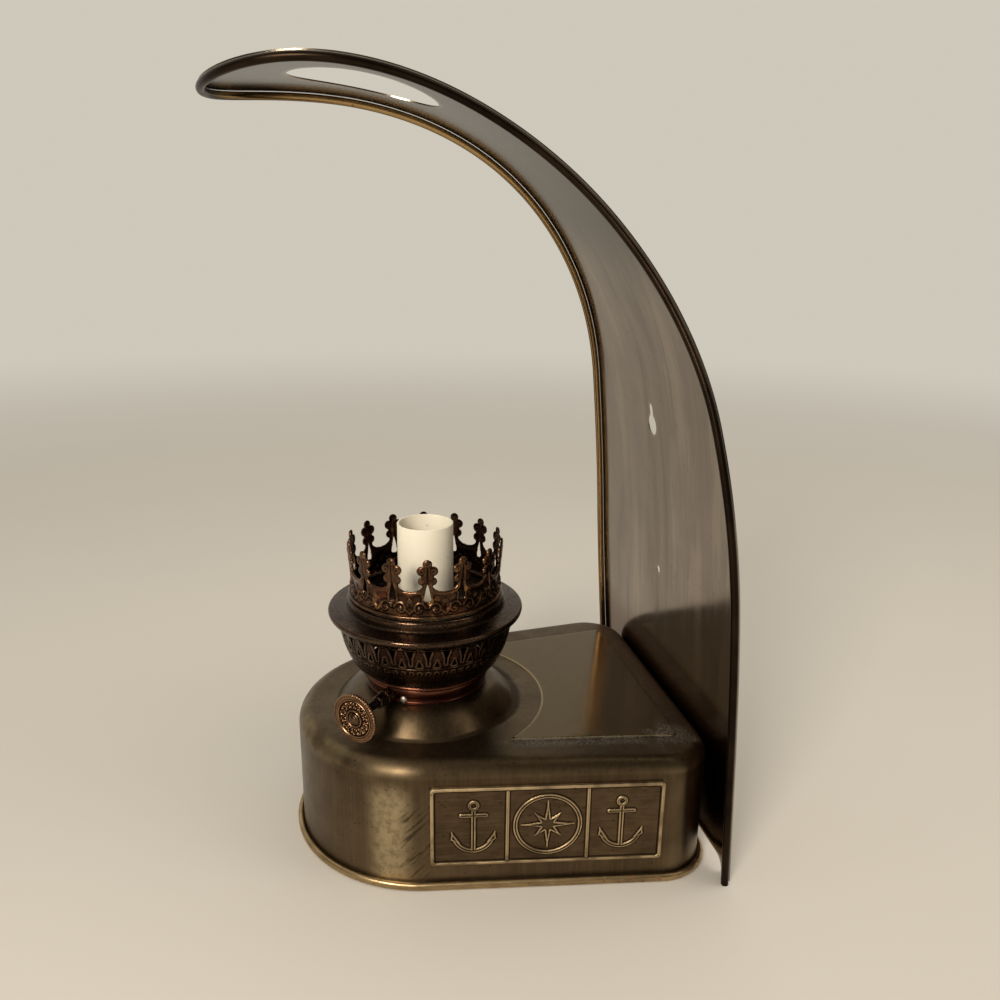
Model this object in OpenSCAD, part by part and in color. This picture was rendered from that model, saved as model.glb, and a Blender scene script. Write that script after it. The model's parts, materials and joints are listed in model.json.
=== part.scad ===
// Ship lamp with a D-shaped brass tank, a burner with a crown and a candle tube,
// and a tall reflector plate that bends forward over the light.
// The origin is on the base plane, on the burner's axis. +Z is up, -Y is the round front,
// the reflector stands at +Y.

/* [Tank] */
// Plan radius of the tank's round front, about the burner's axis
tank_front_r = 61.5; // [56:0.5:66]
// Half of the tank's width at its back corners
tank_half_w = 75; // [70:0.5:80]
// Distance from the burner's axis to the flat back wall
tank_back = 120.8; // [110:0.2:130]
// Plan radius of the two back corners
tank_corner_r = 21.5; // [14:0.5:26]
// Height of the tank's flat top
tank_h = 61; // [54:0.5:70]
// Thickness of the tank's sheet
tank_wall = 0.9; // [0.7:0.1:1.2]
// Radius of the rounded shoulder between wall and top
shoulder_r = 7; // [4:0.5:8]
// Half of the height of the folded seam round the tank's foot
seam_half_h = 1.9; // [1.4:0.1:2.4]
// Half of the width of the folded seam
seam_half_w = 1.45; // [1:0.05:1.8]
// Thickness of the tank's bottom
bottom_t = 1.2; // [0.8:0.1:1.4]

/* [Tank top] */
// Radius of the dome's foot ring on the tank's top
dome_r = 42.5; // [38:0.5:46]
// Rise of the dome from the tank's top to the burner's seat
dome_rise = 10; // [6:0.5:12]
// Rise of the embossed panel over the flat top
panel_rise = 0.8; // [0.4:0.1:1.2]
// Radius of the panel's hollow front edge, about the burner's axis
panel_arc_r = 56.5; // [50:0.5:62]
// Distance of the panel's slanting sides from the tank's walls
panel_side_inset = 19; // [14:0.5:22]
// Distance of the panel's back edge from the tank's back wall
panel_back_inset = 13.5; // [10:0.5:18]
// Outer radius of the screwed ring that takes the burner
socket_ring_r = 23; // [22.5:0.1:25]

/* [Side plaques] */
// Length of a plaque along the tank's flat side
plaque_l = 102; // [90:1:104]
// Height of a plaque
plaque_h = 38.6; // [30:0.2:42]
// Thickness of a plaque's sheet
plaque_t = 0.7; // [0.5:0.1:1]
// Height of a plaque's middle above the base
plaque_z = 31.6; // [28:0.2:34]
// Height of the relief above the sheet
relief_t = 0.8; // [0.5:0.1:1.2]
// Width of the border and of the two bars
border_w = 1.4; // [1:0.1:2]
// Radius of the ring round the middle star
rose_r = 13.5; // [10:0.5:15]

/* [Reflector] */
// Thickness of the reflector's sheet
refl_t = 0.8; // [0.6:0.1:1.2]
// Lean of the straight lower stretch, forward from upright, in degrees
refl_lean = 4; // [3:0.25:5]
// Length of the straight lower stretch
refl_straight = 129; // [110:1:140]
// Radius of the first, slow bend
bend_1_r = 695; // [500:5:900]
// Slope from upright where the first bend ends, in degrees
bend_1_end = 10.5; // [9:0.5:12]
// Radius of the middle bend
bend_2_r = 165; // [150:1:180]
// Slope from upright where the middle bend ends, in degrees
bend_2_end = 41; // [36:1:46]
// Radius of the top bend
bend_3_r = 149; // [140:1:160]
// Slope from upright at the tip, in degrees
bend_3_end = 106; // [98:1:108]
// Half of the reflector's width at its foot
foot_half_w = 83.5; // [80:0.5:86]
// Half of the reflector's greatest width
wide_half_w = 86.5; // [84:0.5:92]
// Distance along the sheet from the foot to its widest place
wide_at = 105; // [90:1:120]
// Half of the reflector's width where the bend begins
mid_half_w = 69; // [60:0.5:74]
// Distance along the sheet from the foot to where the bend begins
mid_at = 227; // [215:1:240]
// Half of the reflector's width at its waist
waist_half_w = 38.5; // [34:0.5:42]
// Distance along the sheet from the foot to the waist
waist_at = 348; // [335:1:360]
// Half of the width of the rounded hood end
hood_half_w = 43.5; // [40:0.5:50]
// Distance along the sheet from the foot to the hood's widest place
hood_at = 413; // [400:1:420]
// Radius of the round bead along the sheet's edge
bead_r = 1.7; // [1.4:0.1:2]
// Height of the sheet's bottom edge between the two feet
foot_gap_h = 7; // [5:0.5:9]
// Width of each foot beside the cut-away bottom edge
foot_w = 7.5; // [5:0.5:10]
// Corner radius of the cut-away bottom edge
foot_corner_r = 5; // [2:0.5:8]

/* [Reflector openings] */
// Distance along the sheet to the keyhole's round part
keyhole_at = 194; // [180:1:204]
// Radius of the keyhole's round part
keyhole_r = 5; // [4:0.25:6]
// Radius of the keyhole's slot
keyhole_slot_r = 2.25; // [1.5:0.25:3]
// Distance from the round part's centre to the slot's upper end centre
keyhole_slot_l = 8; // [7:0.5:12]
// Distance along the sheet to the small fixing hole
fixing_hole_at = 120; // [108:1:128]
// Radius of the small fixing hole
fixing_hole_r = 1.9; // [1.5:0.1:3]
// Distance along the sheet to the oval opening's centre
oval_at = 401; // [396:1:406]
// Half of the oval opening's length along the sheet
oval_half_l = 30.5; // [26:0.5:34]
// Half of the oval opening's width
oval_half_w = 18; // [14:0.5:22]
// Radius of the cable notch in the bottom edge
notch_r = 9; // [7:0.5:12]

/* [Back fixings] */
// Distance of the two screws from the middle
screw_x = 38; // [30:1:46]
// Height of the two screws
screw_z = 32; // [28:1:36]
// Radius of the screws' shanks
screw_r = 2; // [1.5:0.25:2.5]
// Height of the cable bush above the base
bush_z = 12; // [11.5:0.5:14]
// Radius of the cable bush's bore
bush_bore_r = 3.4; // [2.5:0.1:3.6]

/* [Burner] */
// Outer radius of the burner's neck at its foot
neck_foot_r = 28.4; // [28:0.1:29]
// Outer radius of the burner's neck at its top
neck_top_r = 30; // [29.6:0.1:30.6]
// Height of the burner's neck
neck_h = 8; // [7.8:0.1:9]
// Wall of the burner's turned and pressed parts
burner_wall = 0.8; // [0.6:0.1:1]
// Outer radius of the neck's screwed skirt
skirt_r = 20.3; // [19.5:0.1:20.8]
// Depth of the screwed skirt below the neck's foot
skirt_depth = 8; // [5:0.5:10]
// Radius of the round ring between neck and basket
ring_r = 1.1; // [0.9:0.1:1.5]
// Outer radius of the basket at its top
basket_r = 41.3; // [41.1:0.1:41.8]
// Height of the basket
basket_h = 23.2; // [21:0.1:26]
// Number of upright frames in the basket's pierced band
frames = 32; // [24:2:36]
// Radius of the small holes in a row below the band
dot_r = 0.7; // [0.4:0.1:1]
// Radius of the flange's rim
flange_r = 45.8; // [45:0.1:48]
// Height of the flange from its foot to the crown's seat
flange_h = 10.5; // [10.2:0.1:12]

/* [Crown] */
// Outer radius of the crown
crown_r = 35.5; // [35:0.1:36]
// Height of the crown with its finials
crown_h = 28.1; // [27:0.1:31]
// Height of the crown's unbroken band
crown_band_h = 13; // [12:0.1:13.6]
// Number of finials
finials = 14; // [12:1:16]
// Turn of the first finial from +X, in degrees
crown_turn = 20.2; // [0:0.1:25]

/* [Candle] */
// Outer radius of the candle sleeve
sleeve_r = 13; // [12.5:0.1:13]
// Wall of the candle sleeve
sleeve_wall = 1; // [0.8:0.1:1]
// Length of the candle sleeve
sleeve_l = 64; // [56:0.5:70]
// Reach of the candle sleeve above the burner's deck
sleeve_up = 37.7; // [36:0.1:40]
// Depth of the lampholder's rim below the sleeve's top
holder_down = 10; // [8:0.5:14]
// Inner radius of the lampholder's screwed shell
socket_bore_r = 6.9; // [6.5:0.1:7]
// Length of the lampholder's screwed shell
socket_l = 21.5; // [16:0.5:24]
// Outer radius of the hollow screwed tube that carries the lampholder
nipple_r = 5; // [4.5:0.1:5]
// Bore radius of the hollow screwed tube
nipple_bore_r = 3.5; // [3:0.1:4]

/* [Winder] */
// Direction of the winder's shaft from +X, in degrees
winder_dir = -41.7; // [-60:0.1:-30]
// Height of the shaft above the neck's foot
winder_up = 4.2; // [4:0.1:4.4]
// Radius of the shaft
shaft_r = 1.9; // [1.5:0.1:2]
// Reach of the shaft's bush beyond its gland nut
bush_reach = 5; // [2:0.5:8]
// Distance of the knob's inner face from the burner's axis
knob_at = 53.4; // [50:0.2:56]
// Radius of the knob
knob_r = 11.4; // [9:0.2:12]
// Thickness of the knob at its rim
knob_t = 2.2; // [1.8:0.1:3]
// Number of notches in the knob's rim
knob_notches = 40; // [24:1:48]
// Number of petals in the knob's relief
knob_petals = 14; // [8:1:16]

/* [Fits] */
// Seat between two pieces that rest on each other
seat = 0.3; // [0.2:0.05:0.35]
// Clearance of a shaft or screwed part that turns in its hole
running = 0.06; // [0.04:0.01:0.09]
// Clearance of a fixed piece in its hole
hole_gap = 0.15; // [0.1:0.05:0.2]

/* [Hidden] */

// The tank's plan: a front arc, two corner arcs and the straight lines that touch them.
corner_x = tank_half_w - tank_corner_r;
corner_y = tank_back - tank_corner_r;
side_turn = atan2(corner_x, corner_y)
    - asin((tank_front_r - tank_corner_r) / norm([corner_x, corner_y]));
side_start = tank_front_r * [cos(side_turn), -sin(side_turn)];
side_end = [corner_x, corner_y] + tank_corner_r * [cos(side_turn), -sin(side_turn)];
side_l = norm(side_end - side_start);

// Heights of the stack on the tank's dome.
dome_top = tank_h + dome_rise;
neck_z = dome_top + seat;
ring_z = neck_z + neck_h + seat + ring_r;
basket_z = ring_z + ring_r + seat;
flange_z = basket_z + basket_h + seat;
crown_z = flange_z + flange_h + seat;
shaft_z = neck_z + winder_up;
ring_bore_r = skirt_r + running;
neck_foot_h = 1.2;
neck_flare_h = 5.6;
bush_r = shaft_r + 1;
rivet_r = 0.95;
rivet_turn = 13.5;

// Heights of the parts inside the burner.
bridge_z = neck_z - skirt_depth + burner_wall + seat;
bridge_t = 1.5;
draught_z = bridge_z + bridge_t + seat;
deck_z = flange_z + flange_h - 3.6;
deck_r = crown_r - 2.2;
draught_r = 15.8;
sleeve_z = deck_z + sleeve_up - sleeve_l;
sleeve_top = sleeve_z + sleeve_l;
holder_top = sleeve_top - holder_down;
holder_foot_h = 3;
holder_z = sleeve_z - seat - holder_foot_h;
holder_bore_h = 9;
socket_z = holder_top - seat - socket_l - 2;
nut_h = 4;
nut_r = 8;

// The reflector's side profile: a leaning straight line and three touching arcs.
refl_y = tank_back + seat + (tank_h - shoulder_r) * tan(refl_lean);
bend_r = [bend_1_r, bend_2_r, bend_3_r];
bend_from = [refl_lean, bend_1_end, bend_2_end];
bend_to = [bend_1_end, bend_2_end, bend_3_end];
bend_l = [for (i = [0:2]) bend_r[i] * (bend_to[i] - bend_from[i]) * PI / 180];
refl_l = refl_straight + bend_l[0] + bend_l[1] + bend_l[2];
refl_knots = [[0, foot_half_w, 0.045], [wide_at, wide_half_w, 0], [mid_at, mid_half_w, -0.33],
    [waist_at, waist_half_w, 0], [hood_at, hood_half_w, 0]];
side_steps = 46;
tip_steps = 13;
tip_last_angle = 88;
bead_seat = 0.05;
below_foot = -2;

// Feet of the relief figures on a plaque.
field_w = (plaque_l - 2 * rose_r - 8) / 2;
bar_x = rose_r + 3;
anchor_x = bar_x + field_w / 2;
anchor_h = 26;

// One point of the round arc about c, at angle a.
function on_arc(c, r, a) = c + r * [cos(a), sin(a)];

// A ring of points round the tank's plan, moved outward by out, at height z.
function plan_ring(out, z, corner_n = 9, front_n = 44) = [
    for (i = [0:corner_n])
        let (a = -side_turn + i * (90 + side_turn) / corner_n)
        concat(on_arc([corner_x, corner_y], tank_corner_r + out, a), z),
    for (i = [0:corner_n])
        let (a = 90 + i * (90 + side_turn) / corner_n)
        concat(on_arc([-corner_x, corner_y], tank_corner_r + out, a), z),
    for (i = [0:front_n])
        let (a = 180 + side_turn + i * (180 - 2 * side_turn) / front_n)
        concat(on_arc([0, 0], tank_front_r + out, a), z)];

// A closed skin over rings of equal count, each counter-clockwise seen from the last ring.
module skin(rings) {
    n = len(rings[0]);
    m = len(rings);
    sides = [for (i = [0:m - 2], j = [0:n - 1], upper = [0, 1])
        let (a = i * n + j)
        let (b = i * n + (j + 1) % n)
        upper == 0 ? [a, a + n, b + n] : [a, b + n, b]];
    caps = [[for (j = [0:n - 1]) j], [for (j = [0:n - 1]) m * n - 1 - j]];
    polyhedron(points = [for (ring = rings, p = ring) p], faces = concat(caps, sides), convexity = 10);
}

// Place, height and slope of the reflector's front face at the distance s along the sheet.
function arc_end(p, r, from, to) = [p[0] + r * (cos(to) - cos(from)), p[1] + r * (sin(to) - sin(from)), to];
function bend_start(i) = i == 0
    ? [refl_y - refl_straight * sin(refl_lean), refl_straight * cos(refl_lean), refl_lean]
    : arc_end(bend_start(i - 1), bend_r[i - 1], bend_from[i - 1], bend_to[i - 1]);
function bend_s(i) = i == 0 ? refl_straight : bend_s(i - 1) + bend_l[i - 1];
function profile(s) = s <= refl_straight
    ? [refl_y - s * sin(refl_lean), s * cos(refl_lean), refl_lean]
    : let (i = s < bend_s(1) ? 0 : s < bend_s(2) ? 1 : 2)
      arc_end(bend_start(i), bend_r[i], bend_from[i], bend_from[i] + (s - bend_s(i)) / bend_r[i] * 180 / PI);

// Half of the sheet's width at s, a smooth curve through the knots.
function knot_before(s, i = 0) = i >= len(refl_knots) - 2 || s < refl_knots[i + 1][0] ? i : knot_before(s, i + 1);
function half_width(s) =
    let (i = knot_before(s))
    let (a = refl_knots[i])
    let (b = refl_knots[i + 1])
    let (l = b[0] - a[0])
    let (t = (s - a[0]) / l)
    (2 * t ^ 3 - 3 * t ^ 2 + 1) * a[1] + (t ^ 3 - 2 * t ^ 2 + t) * l * a[2]
        + (3 * t ^ 2 - 2 * t ^ 3) * b[1] + (t ^ 3 - t ^ 2) * l * b[2];

// Stations of the right half of the outline, as [distance, half-width]: the side, then the round tip.
outline = [
    for (i = [0:side_steps])
        let (s = below_foot + (hood_at - below_foot) * i / side_steps)
        [s, half_width(s)],
    for (i = [1:tip_steps])
        let (a = tip_last_angle * i / tip_steps)
        [hood_at + (refl_l - hood_at) * sin(a), hood_half_w * cos(a)]];

// A point beside the sheet: x across, s along it, and out behind its front face.
function on_sheet(x, s, out) =
    let (p = profile(s))
    [x, p[0] + out * cos(p[2]), p[1] + out * sin(p[2])];

// Puts its children on the sheet at s, with +Z along the outward normal and +Y up the sheet.
module at_sheet(s) {
    p = profile(s);
    translate([0, p[0], p[1]]) rotate([p[2] - 90, 0, 0]) children();
}

// A tube along the path, each ring square to it, with u a direction square to every step.
module tube_along(path, u, r, sides) {
    last = len(path) - 1;
    skin([for (i = [0:last])
        let (t = path[min(i + 1, last)] - path[max(i - 1, 0)])
        let (w = cross(t, u[i]) / norm(cross(t, u[i])))
        [for (k = [0:sides - 1])
            path[i] + r * (cos(k * 360 / sides) * u[i] + sin(k * 360 / sides) * w)]]);
}

// A round shell between two radii.
module ring_wall(outer, inner, h) {
    difference() {
        cylinder(r = outer, h = h, $fn = 96);
        translate([0, 0, -1]) cylinder(r = inner, h = h + 2, $fn = 96);
    }
}

// A six-sided nut with its hole, standing on its flat.
module hex_nut(across_r, bore, h) {
    difference() {
        cylinder(r = across_r, h = h, $fn = 6);
        translate([0, 0, -1]) cylinder(r = bore, h = h + 2, $fn = 48);
    }
}

// Lays its children along the winder's shaft, with +Z outward, starting at the burner's axis.
module on_winder() {
    translate([0, 0, shaft_z]) rotate([0, 0, winder_dir]) rotate([0, 90, 0]) children();
}

// Lays its children on the tank's near flat side: x along it, y up, z outward.
module on_side() {
    start = concat(side_start, plaque_z);
    translate(start) rotate([0, 0, 90 - side_turn]) rotate([90, 0, 0]) translate([side_l / 2, 0, 0]) children();
}

module tank_inside() {
    skin([plan_ring(-tank_wall, -1), plan_ring(-tank_wall, tank_h - shoulder_r),
        for (a = [30:30:90])
            plan_ring(-tank_wall - (shoulder_r - tank_wall) * (1 - cos(a)),
                tank_h - shoulder_r + (shoulder_r - tank_wall) * sin(a))]);
}

module dome() {
    steps = 8;
    inner_r = socket_ring_r + hole_gap;
    flat_r = neck_foot_r + 1;
    upper = [for (i = [0:steps])
        [dome_r + (flat_r - dome_r) * i / steps, tank_h + dome_rise * sin(90 * i / steps)]];
    lower = [for (i = [0:steps])
        [flat_r + (dome_r - flat_r) * i / steps, tank_h - tank_wall + dome_rise * cos(90 * i / steps)]];
    rotate_extrude($fn = 96)
        polygon(concat([[dome_r + 1, tank_h - tank_wall], [dome_r + 1, tank_h]], upper,
            [[inner_r, dome_top], [inner_r, dome_top - tank_wall]], lower));
}

module top_panel() {
    out = -panel_side_inset;
    normal = [cos(side_turn), -sin(side_turn)];
    along = [sin(side_turn), cos(side_turn)];
    back_y = tank_back - panel_back_inset;
    edge = side_start + out * normal;
    far_end = edge + along * (back_y - edge[1]) / along[1];
    corner = far_end - [2, 0];
    near_end = edge + along * (panel_arc_r * 0.54 - edge[1]) / along[1];
    translate([0, 0, tank_h - tank_wall / 2])
        linear_extrude(panel_rise + tank_wall / 2)
            difference() {
                polygon([near_end, far_end - 2 * along, corner, [-corner[0], corner[1]],
                    [-far_end[0] + 2 * along[0], far_end[1] - 2 * along[1]], [-near_end[0], near_end[1]]]);
                circle(r = panel_arc_r, $fn = 96);
            }
}

module tank_shell() {
    wall_z = bottom_t + seat;
    color("darkgoldenrod") {
        difference() {
            skin([plan_ring(0, wall_z), plan_ring(0, tank_h - shoulder_r),
                for (a = [18:18:90])
                    plan_ring(-shoulder_r * (1 - cos(a)), tank_h - shoulder_r + shoulder_r * sin(a))]);
            tank_inside();
            translate([0, 0, tank_h - 3]) cylinder(r = dome_r - 1, h = 6, $fn = 96);
            for (x = [-screw_x, screw_x])
                translate([x, tank_back - 3, screw_z])
                    rotate([-90, 0, 0]) cylinder(r = screw_r + hole_gap, h = 6, $fn = 32);
            translate([0, tank_back - 3, bush_z])
                rotate([-90, 0, 0]) cylinder(r = bush_bore_r + 1.1 + hole_gap, h = 6, $fn = 48);
        }
        dome();
        top_panel();
    }
}

module tank_bottom() {
    seam_out = seam_half_w + 0.1;
    color("goldenrod")
        skin([plan_ring(-4, 0), plan_ring(seam_out, 0),
            for (a = [-60:30:150])
                plan_ring(seam_out + seam_half_w * cos(a), seam_half_h * (1 + sin(a))),
            plan_ring(0.1, seam_half_h), plan_ring(0.1, bottom_t), plan_ring(-4, bottom_t)]);
}

module tank_socket_ring() {
    flange_t = 1.2;
    lip_r = socket_ring_r + 3;
    under = dome_top - tank_wall - seat;
    color("peru")
        rotate_extrude($fn = 96)
            polygon([[ring_bore_r, under - skirt_depth], [socket_ring_r, under - skirt_depth],
                [socket_ring_r, under - flange_t], [lip_r, under - flange_t], [lip_r, under],
                [socket_ring_r, under], [socket_ring_r, dome_top], [ring_bore_r, dome_top]]);
}

module anchor() {
    stock_w = anchor_h * 0.42;
    arm_r = anchor_h * 0.36;
    translate([0, anchor_h / 2 - 2.4]) difference() {
        circle(r = 2.4, $fn = 32);
        circle(r = 1.2, $fn = 32);
    }
    translate([0, -2]) square([1.8, anchor_h - 6], center = true);
    translate([0, anchor_h * 0.22]) square([stock_w, 1.6], center = true);
    translate([0, -anchor_h / 2 + arm_r]) difference() {
        circle(r = arm_r, $fn = 64);
        circle(r = arm_r - 1.8, $fn = 64);
        translate([-arm_r - 1, -arm_r * 0.35]) square(2 * arm_r + 2);
    }
    for (side = [-1, 1])
        translate([side * arm_r * 0.93, -anchor_h / 2 + arm_r * 0.62])
            rotate(side * -25) polygon([[-2.4, -1.2], [2.4, -1.2], [0, 3.6]]);
}

module compass_star() {
    points = 16;
    polygon([for (i = [0:points - 1])
        let (r = i % 2 == 1 ? rose_r * 0.26 : i % 4 == 0 ? rose_r - 1.6 : rose_r * 0.62)
        r * [sin(i * 360 / points), cos(i * 360 / points)]]);
}

// A plaque: a thin sheet with a raised border, two bars, a star in a ring and two anchors.
module plaque() {
    color("darkgoldenrod") {
        translate([-plaque_l / 2, -plaque_h / 2, seat])
            cube([plaque_l, plaque_h, plaque_t]);
        translate([0, 0, seat + plaque_t / 2]) linear_extrude(plaque_t / 2 + relief_t) {
            difference() {
                square([plaque_l, plaque_h], center = true);
                square([plaque_l - 2 * border_w, plaque_h - 2 * border_w], center = true);
            }
            for (x = [-bar_x, bar_x])
                translate([x, 0]) square([border_w, plaque_h - border_w], center = true);
            difference() {
                circle(r = rose_r, $fn = 96);
                circle(r = rose_r - 1, $fn = 96);
            }
            compass_star();
            for (x = [-anchor_x, anchor_x])
                translate([x, 0]) anchor();
        }
    }
}

module plaque_near() {
    on_side() plaque();
}

module plaque_far() {
    mirror([1, 0, 0]) on_side() plaque();
}

// The sheet itself, a thin curved plate between its two outlines.
module sheet() {
    skin([for (o = outline)
        [on_sheet(-o[1], o[0], 0), on_sheet(o[1], o[0], 0), on_sheet(o[1], o[0], refl_t),
            on_sheet(-o[1], o[0], refl_t)]]);
}

// Takes away all that would reach below the base plane.
module below_base() {
    reach = 3 * tank_half_w;
    translate([-reach, -reach, -20]) cube([2 * reach, 2 * reach, 20]);
}

module bottom_edge_cut() {
    half = foot_half_w - foot_w;
    deep = 10;
    translate([0, refl_y + 10, 0]) rotate([90, 0, 0]) linear_extrude(20) {
        translate([-half, -deep]) square([2 * half, foot_gap_h - foot_corner_r + deep]);
        translate([-half + foot_corner_r, -deep]) square([2 * (half - foot_corner_r), foot_gap_h + deep]);
        for (side = [-1, 1])
            translate([side * (half - foot_corner_r), foot_gap_h - foot_corner_r])
                circle(r = foot_corner_r, $fn = 48);
        translate([0, bush_z]) circle(r = notch_r, $fn = 64);
        translate([-notch_r, 0]) square([2 * notch_r, bush_z]);
    }
}

module reflector() {
    through = 12;
    color("rosybrown") difference() {
        sheet();
        at_sheet(keyhole_at) {
            translate([0, 0, -through / 2]) cylinder(r = keyhole_r, h = through, $fn = 64);
            translate([0, keyhole_slot_l, -through / 2]) cylinder(r = keyhole_slot_r, h = through, $fn = 48);
            translate([-keyhole_slot_r, 0, -through / 2]) cube([2 * keyhole_slot_r, keyhole_slot_l, through]);
        }
        at_sheet(fixing_hole_at)
            translate([0, 0, -through / 2]) cylinder(r = fixing_hole_r, h = through, $fn = 48);
        at_sheet(oval_at)
            translate([0, 0, -through]) linear_extrude(2 * through)
                polygon([for (a = [0:7.5:352.5]) [oval_half_w * cos(a), oval_half_l * sin(a)]]);
        for (x = [-screw_x, screw_x])
            translate([x, refl_y - through, screw_z])
                rotate([-90, 0, 0]) cylinder(r = screw_r + hole_gap, h = 2 * through, $fn = 32);
        bottom_edge_cut();
        below_base();
    }
}

module rim_bead() {
    n = len(outline);
    half = [for (o = outline) on_sheet(o[1], o[0], -bead_r - bead_seat)];
    normal = [for (o = outline) let (p = profile(o[0])) [0, cos(p[2]), sin(p[2])]];
    path = concat(half, [for (i = [1:n]) let (p = half[n - i]) [-p[0], p[1], p[2]]]);
    color("saddlebrown") difference() {
        tube_along(path, concat(normal, [for (i = [1:n]) normal[n - i]]), bead_r, 10);
        below_base();
    }
}

// A pan-head screw through the reflector and the tank's back wall, with its axis along Y.
module plate_screw(x) {
    head_r = 1.9 * screw_r;
    head_t = 1.2 * screw_r;
    back = refl_y - screw_z * tan(refl_lean) + refl_t / cos(refl_lean) + head_r * tan(refl_lean) + seat;
    tip = tank_back - tank_wall - seat - 1.6 * screw_r - 1.5;
    color("silver") translate([x, 0, screw_z]) rotate([-90, 0, 0]) {
        translate([0, 0, tip]) cylinder(r = screw_r, h = back - tip + 0.5, $fn = 32);
        difference() {
            translate([0, 0, back]) cylinder(r1 = head_r, r2 = head_r * 0.72, h = head_t, $fn = 48);
            translate([-head_r, -0.45, back + head_t - 1]) cube([2 * head_r, 0.9, 2]);
        }
    }
}

module plate_nut(x) {
    nut_t = 1.6 * screw_r;
    color("silver") translate([x, tank_back - tank_wall - seat - nut_t, screw_z]) rotate([-90, 0, 0])
        hex_nut(2 * screw_r, screw_r + running / 2, nut_t);
}

// A distance ring between the tank's wall and the leaning sheet.
module plate_spacer(x) {
    outer = 2.2 * screw_r;
    front = tank_back + seat;
    back = refl_y - (screw_z + outer) * tan(refl_lean) - seat;
    color("goldenrod") translate([x, front, screw_z]) rotate([-90, 0, 0])
        ring_wall(outer, screw_r + hole_gap, back - front);
}

module plate_screw_near() {
    plate_screw(screw_x);
}

module plate_screw_far() {
    plate_screw(-screw_x);
}

module plate_nut_near() {
    plate_nut(screw_x);
}

module plate_nut_far() {
    plate_nut(-screw_x);
}

module plate_spacer_near() {
    plate_spacer(screw_x);
}

module plate_spacer_far() {
    plate_spacer(-screw_x);
}

module cable_bush() {
    neck_r = bush_bore_r + 1.1;
    lip_r = neck_r + 1.8;
    lip_t = 1.6;
    groove = tank_wall + 2 * hole_gap;
    front = -tank_wall - hole_gap - lip_t;
    color("dimgray") translate([0, tank_back + front, bush_z]) rotate([-90, 0, 0])
        rotate_extrude($fn = 64)
            polygon([[bush_bore_r, 0], [lip_r, 0], [lip_r, lip_t], [neck_r, lip_t],
                [neck_r, lip_t + groove], [lip_r, lip_t + groove], [lip_r, 2 * lip_t + groove],
                [bush_bore_r, 2 * lip_t + groove]]);
}

block_size = [26, 14, 11];
block_y = tank_back - 36.8;

module terminal_block() {
    color("ivory") translate([-block_size[0] / 2, block_y, bottom_t + seat]) difference() {
        cube(block_size);
        for (x = [0.28, 0.72])
            translate([x * block_size[0], block_size[1] / 2, block_size[2] - 5]) cylinder(r = 2.6, h = 8, $fn = 32);
    }
}

module terminal_screw(share) {
    color("silver")
        translate([(share - 0.5) * block_size[0], block_y + block_size[1] / 2,
                bottom_t + seat + block_size[2] - 4.7])
            difference() {
                cylinder(r = 2.4, h = 4, $fn = 32);
                translate([-3, -0.3, 3]) cube([6, 0.6, 2]);
            }
}

module terminal_screw_left() {
    terminal_screw(0.28);
}

module terminal_screw_right() {
    terminal_screw(0.72);
}

module earth_screw() {
    color("silver") translate([30, block_y, bottom_t + seat]) {
        cylinder(r = 4, h = 1, $fn = 48);
        cylinder(r = 2, h = 5, $fn = 32);
        translate([0, 0, 5]) cylinder(r = 3.6, h = 2.2, $fn = 48);
    }
}

lead_r = 2.2;

// The wire pair inside the lamp, from the terminal block up the hollow tube to the lampholder.
module inner_lead() {
    bend = 26;
    low_z = bottom_t + seat + 5.5;
    steps = 10;
    path = concat([[0, 0, holder_z + holder_bore_h - seat], [0, 0, low_z + bend]],
        [for (i = [1:steps])
            let (a = 90 * i / steps)
            [0, bend * (1 - cos(a)), low_z + bend * (1 - sin(a))]],
        [[0, block_y - seat, low_z]]);
    color("beige") tube_along(path, [for (p = path) [1, 0, 0]], lead_r, 10);
}

module burner_neck() {
    inner = skirt_r - burner_wall;
    lip_r = inner - 2;
    low = -skirt_depth;
    flare_end = neck_foot_h + neck_flare_h;
    color("sienna") difference() {
        translate([0, 0, neck_z]) rotate_extrude($fn = 96)
            polygon([[lip_r, low], [skirt_r, low], [skirt_r, 0], [neck_foot_r, 0],
                [neck_foot_r, neck_foot_h], [neck_top_r, flare_end], [neck_top_r, neck_h],
                [neck_top_r - burner_wall, neck_h], [neck_top_r - burner_wall, flare_end],
                [neck_foot_r - burner_wall, neck_foot_h], [neck_foot_r - burner_wall, burner_wall],
                [inner, burner_wall], [inner, low + burner_wall], [lip_r, low + burner_wall]]);
        on_winder() translate([0, 0, neck_foot_r - 5]) cylinder(r = bush_r + hole_gap, h = 12, $fn = 48);
        on_rivet() translate([0, 0, neck_foot_r - 5]) cylinder(r = rivet_r + hole_gap, h = 12, $fn = 32);
    }
}

// Lays its children along the neck's rivet, with +Z outward, starting at the burner's axis.
module on_rivet() {
    translate([0, 0, neck_z + neck_foot_h + neck_flare_h * 0.27])
        rotate([0, 0, winder_dir + rivet_turn]) rotate([0, 90, 0]) children();
}

// A rivet through the neck, with a round head outside and a flat one inside.
module neck_rivet() {
    outer_r = neck_foot_r + (neck_top_r - neck_foot_r) * 0.6 + seat / 3;
    inner_r = neck_foot_r - burner_wall - 2 * seat - 1;
    color("silver") on_rivet() {
        translate([0, 0, inner_r]) cylinder(r = 1.7 * rivet_r, h = 1, $fn = 32);
        translate([0, 0, inner_r]) cylinder(r = rivet_r, h = outer_r - inner_r + 0.5, $fn = 32);
        translate([0, 0, outer_r]) cylinder(r1 = 1.8 * rivet_r, r2 = 1.2 * rivet_r, h = 1.1, $fn = 32);
    }
}

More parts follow.
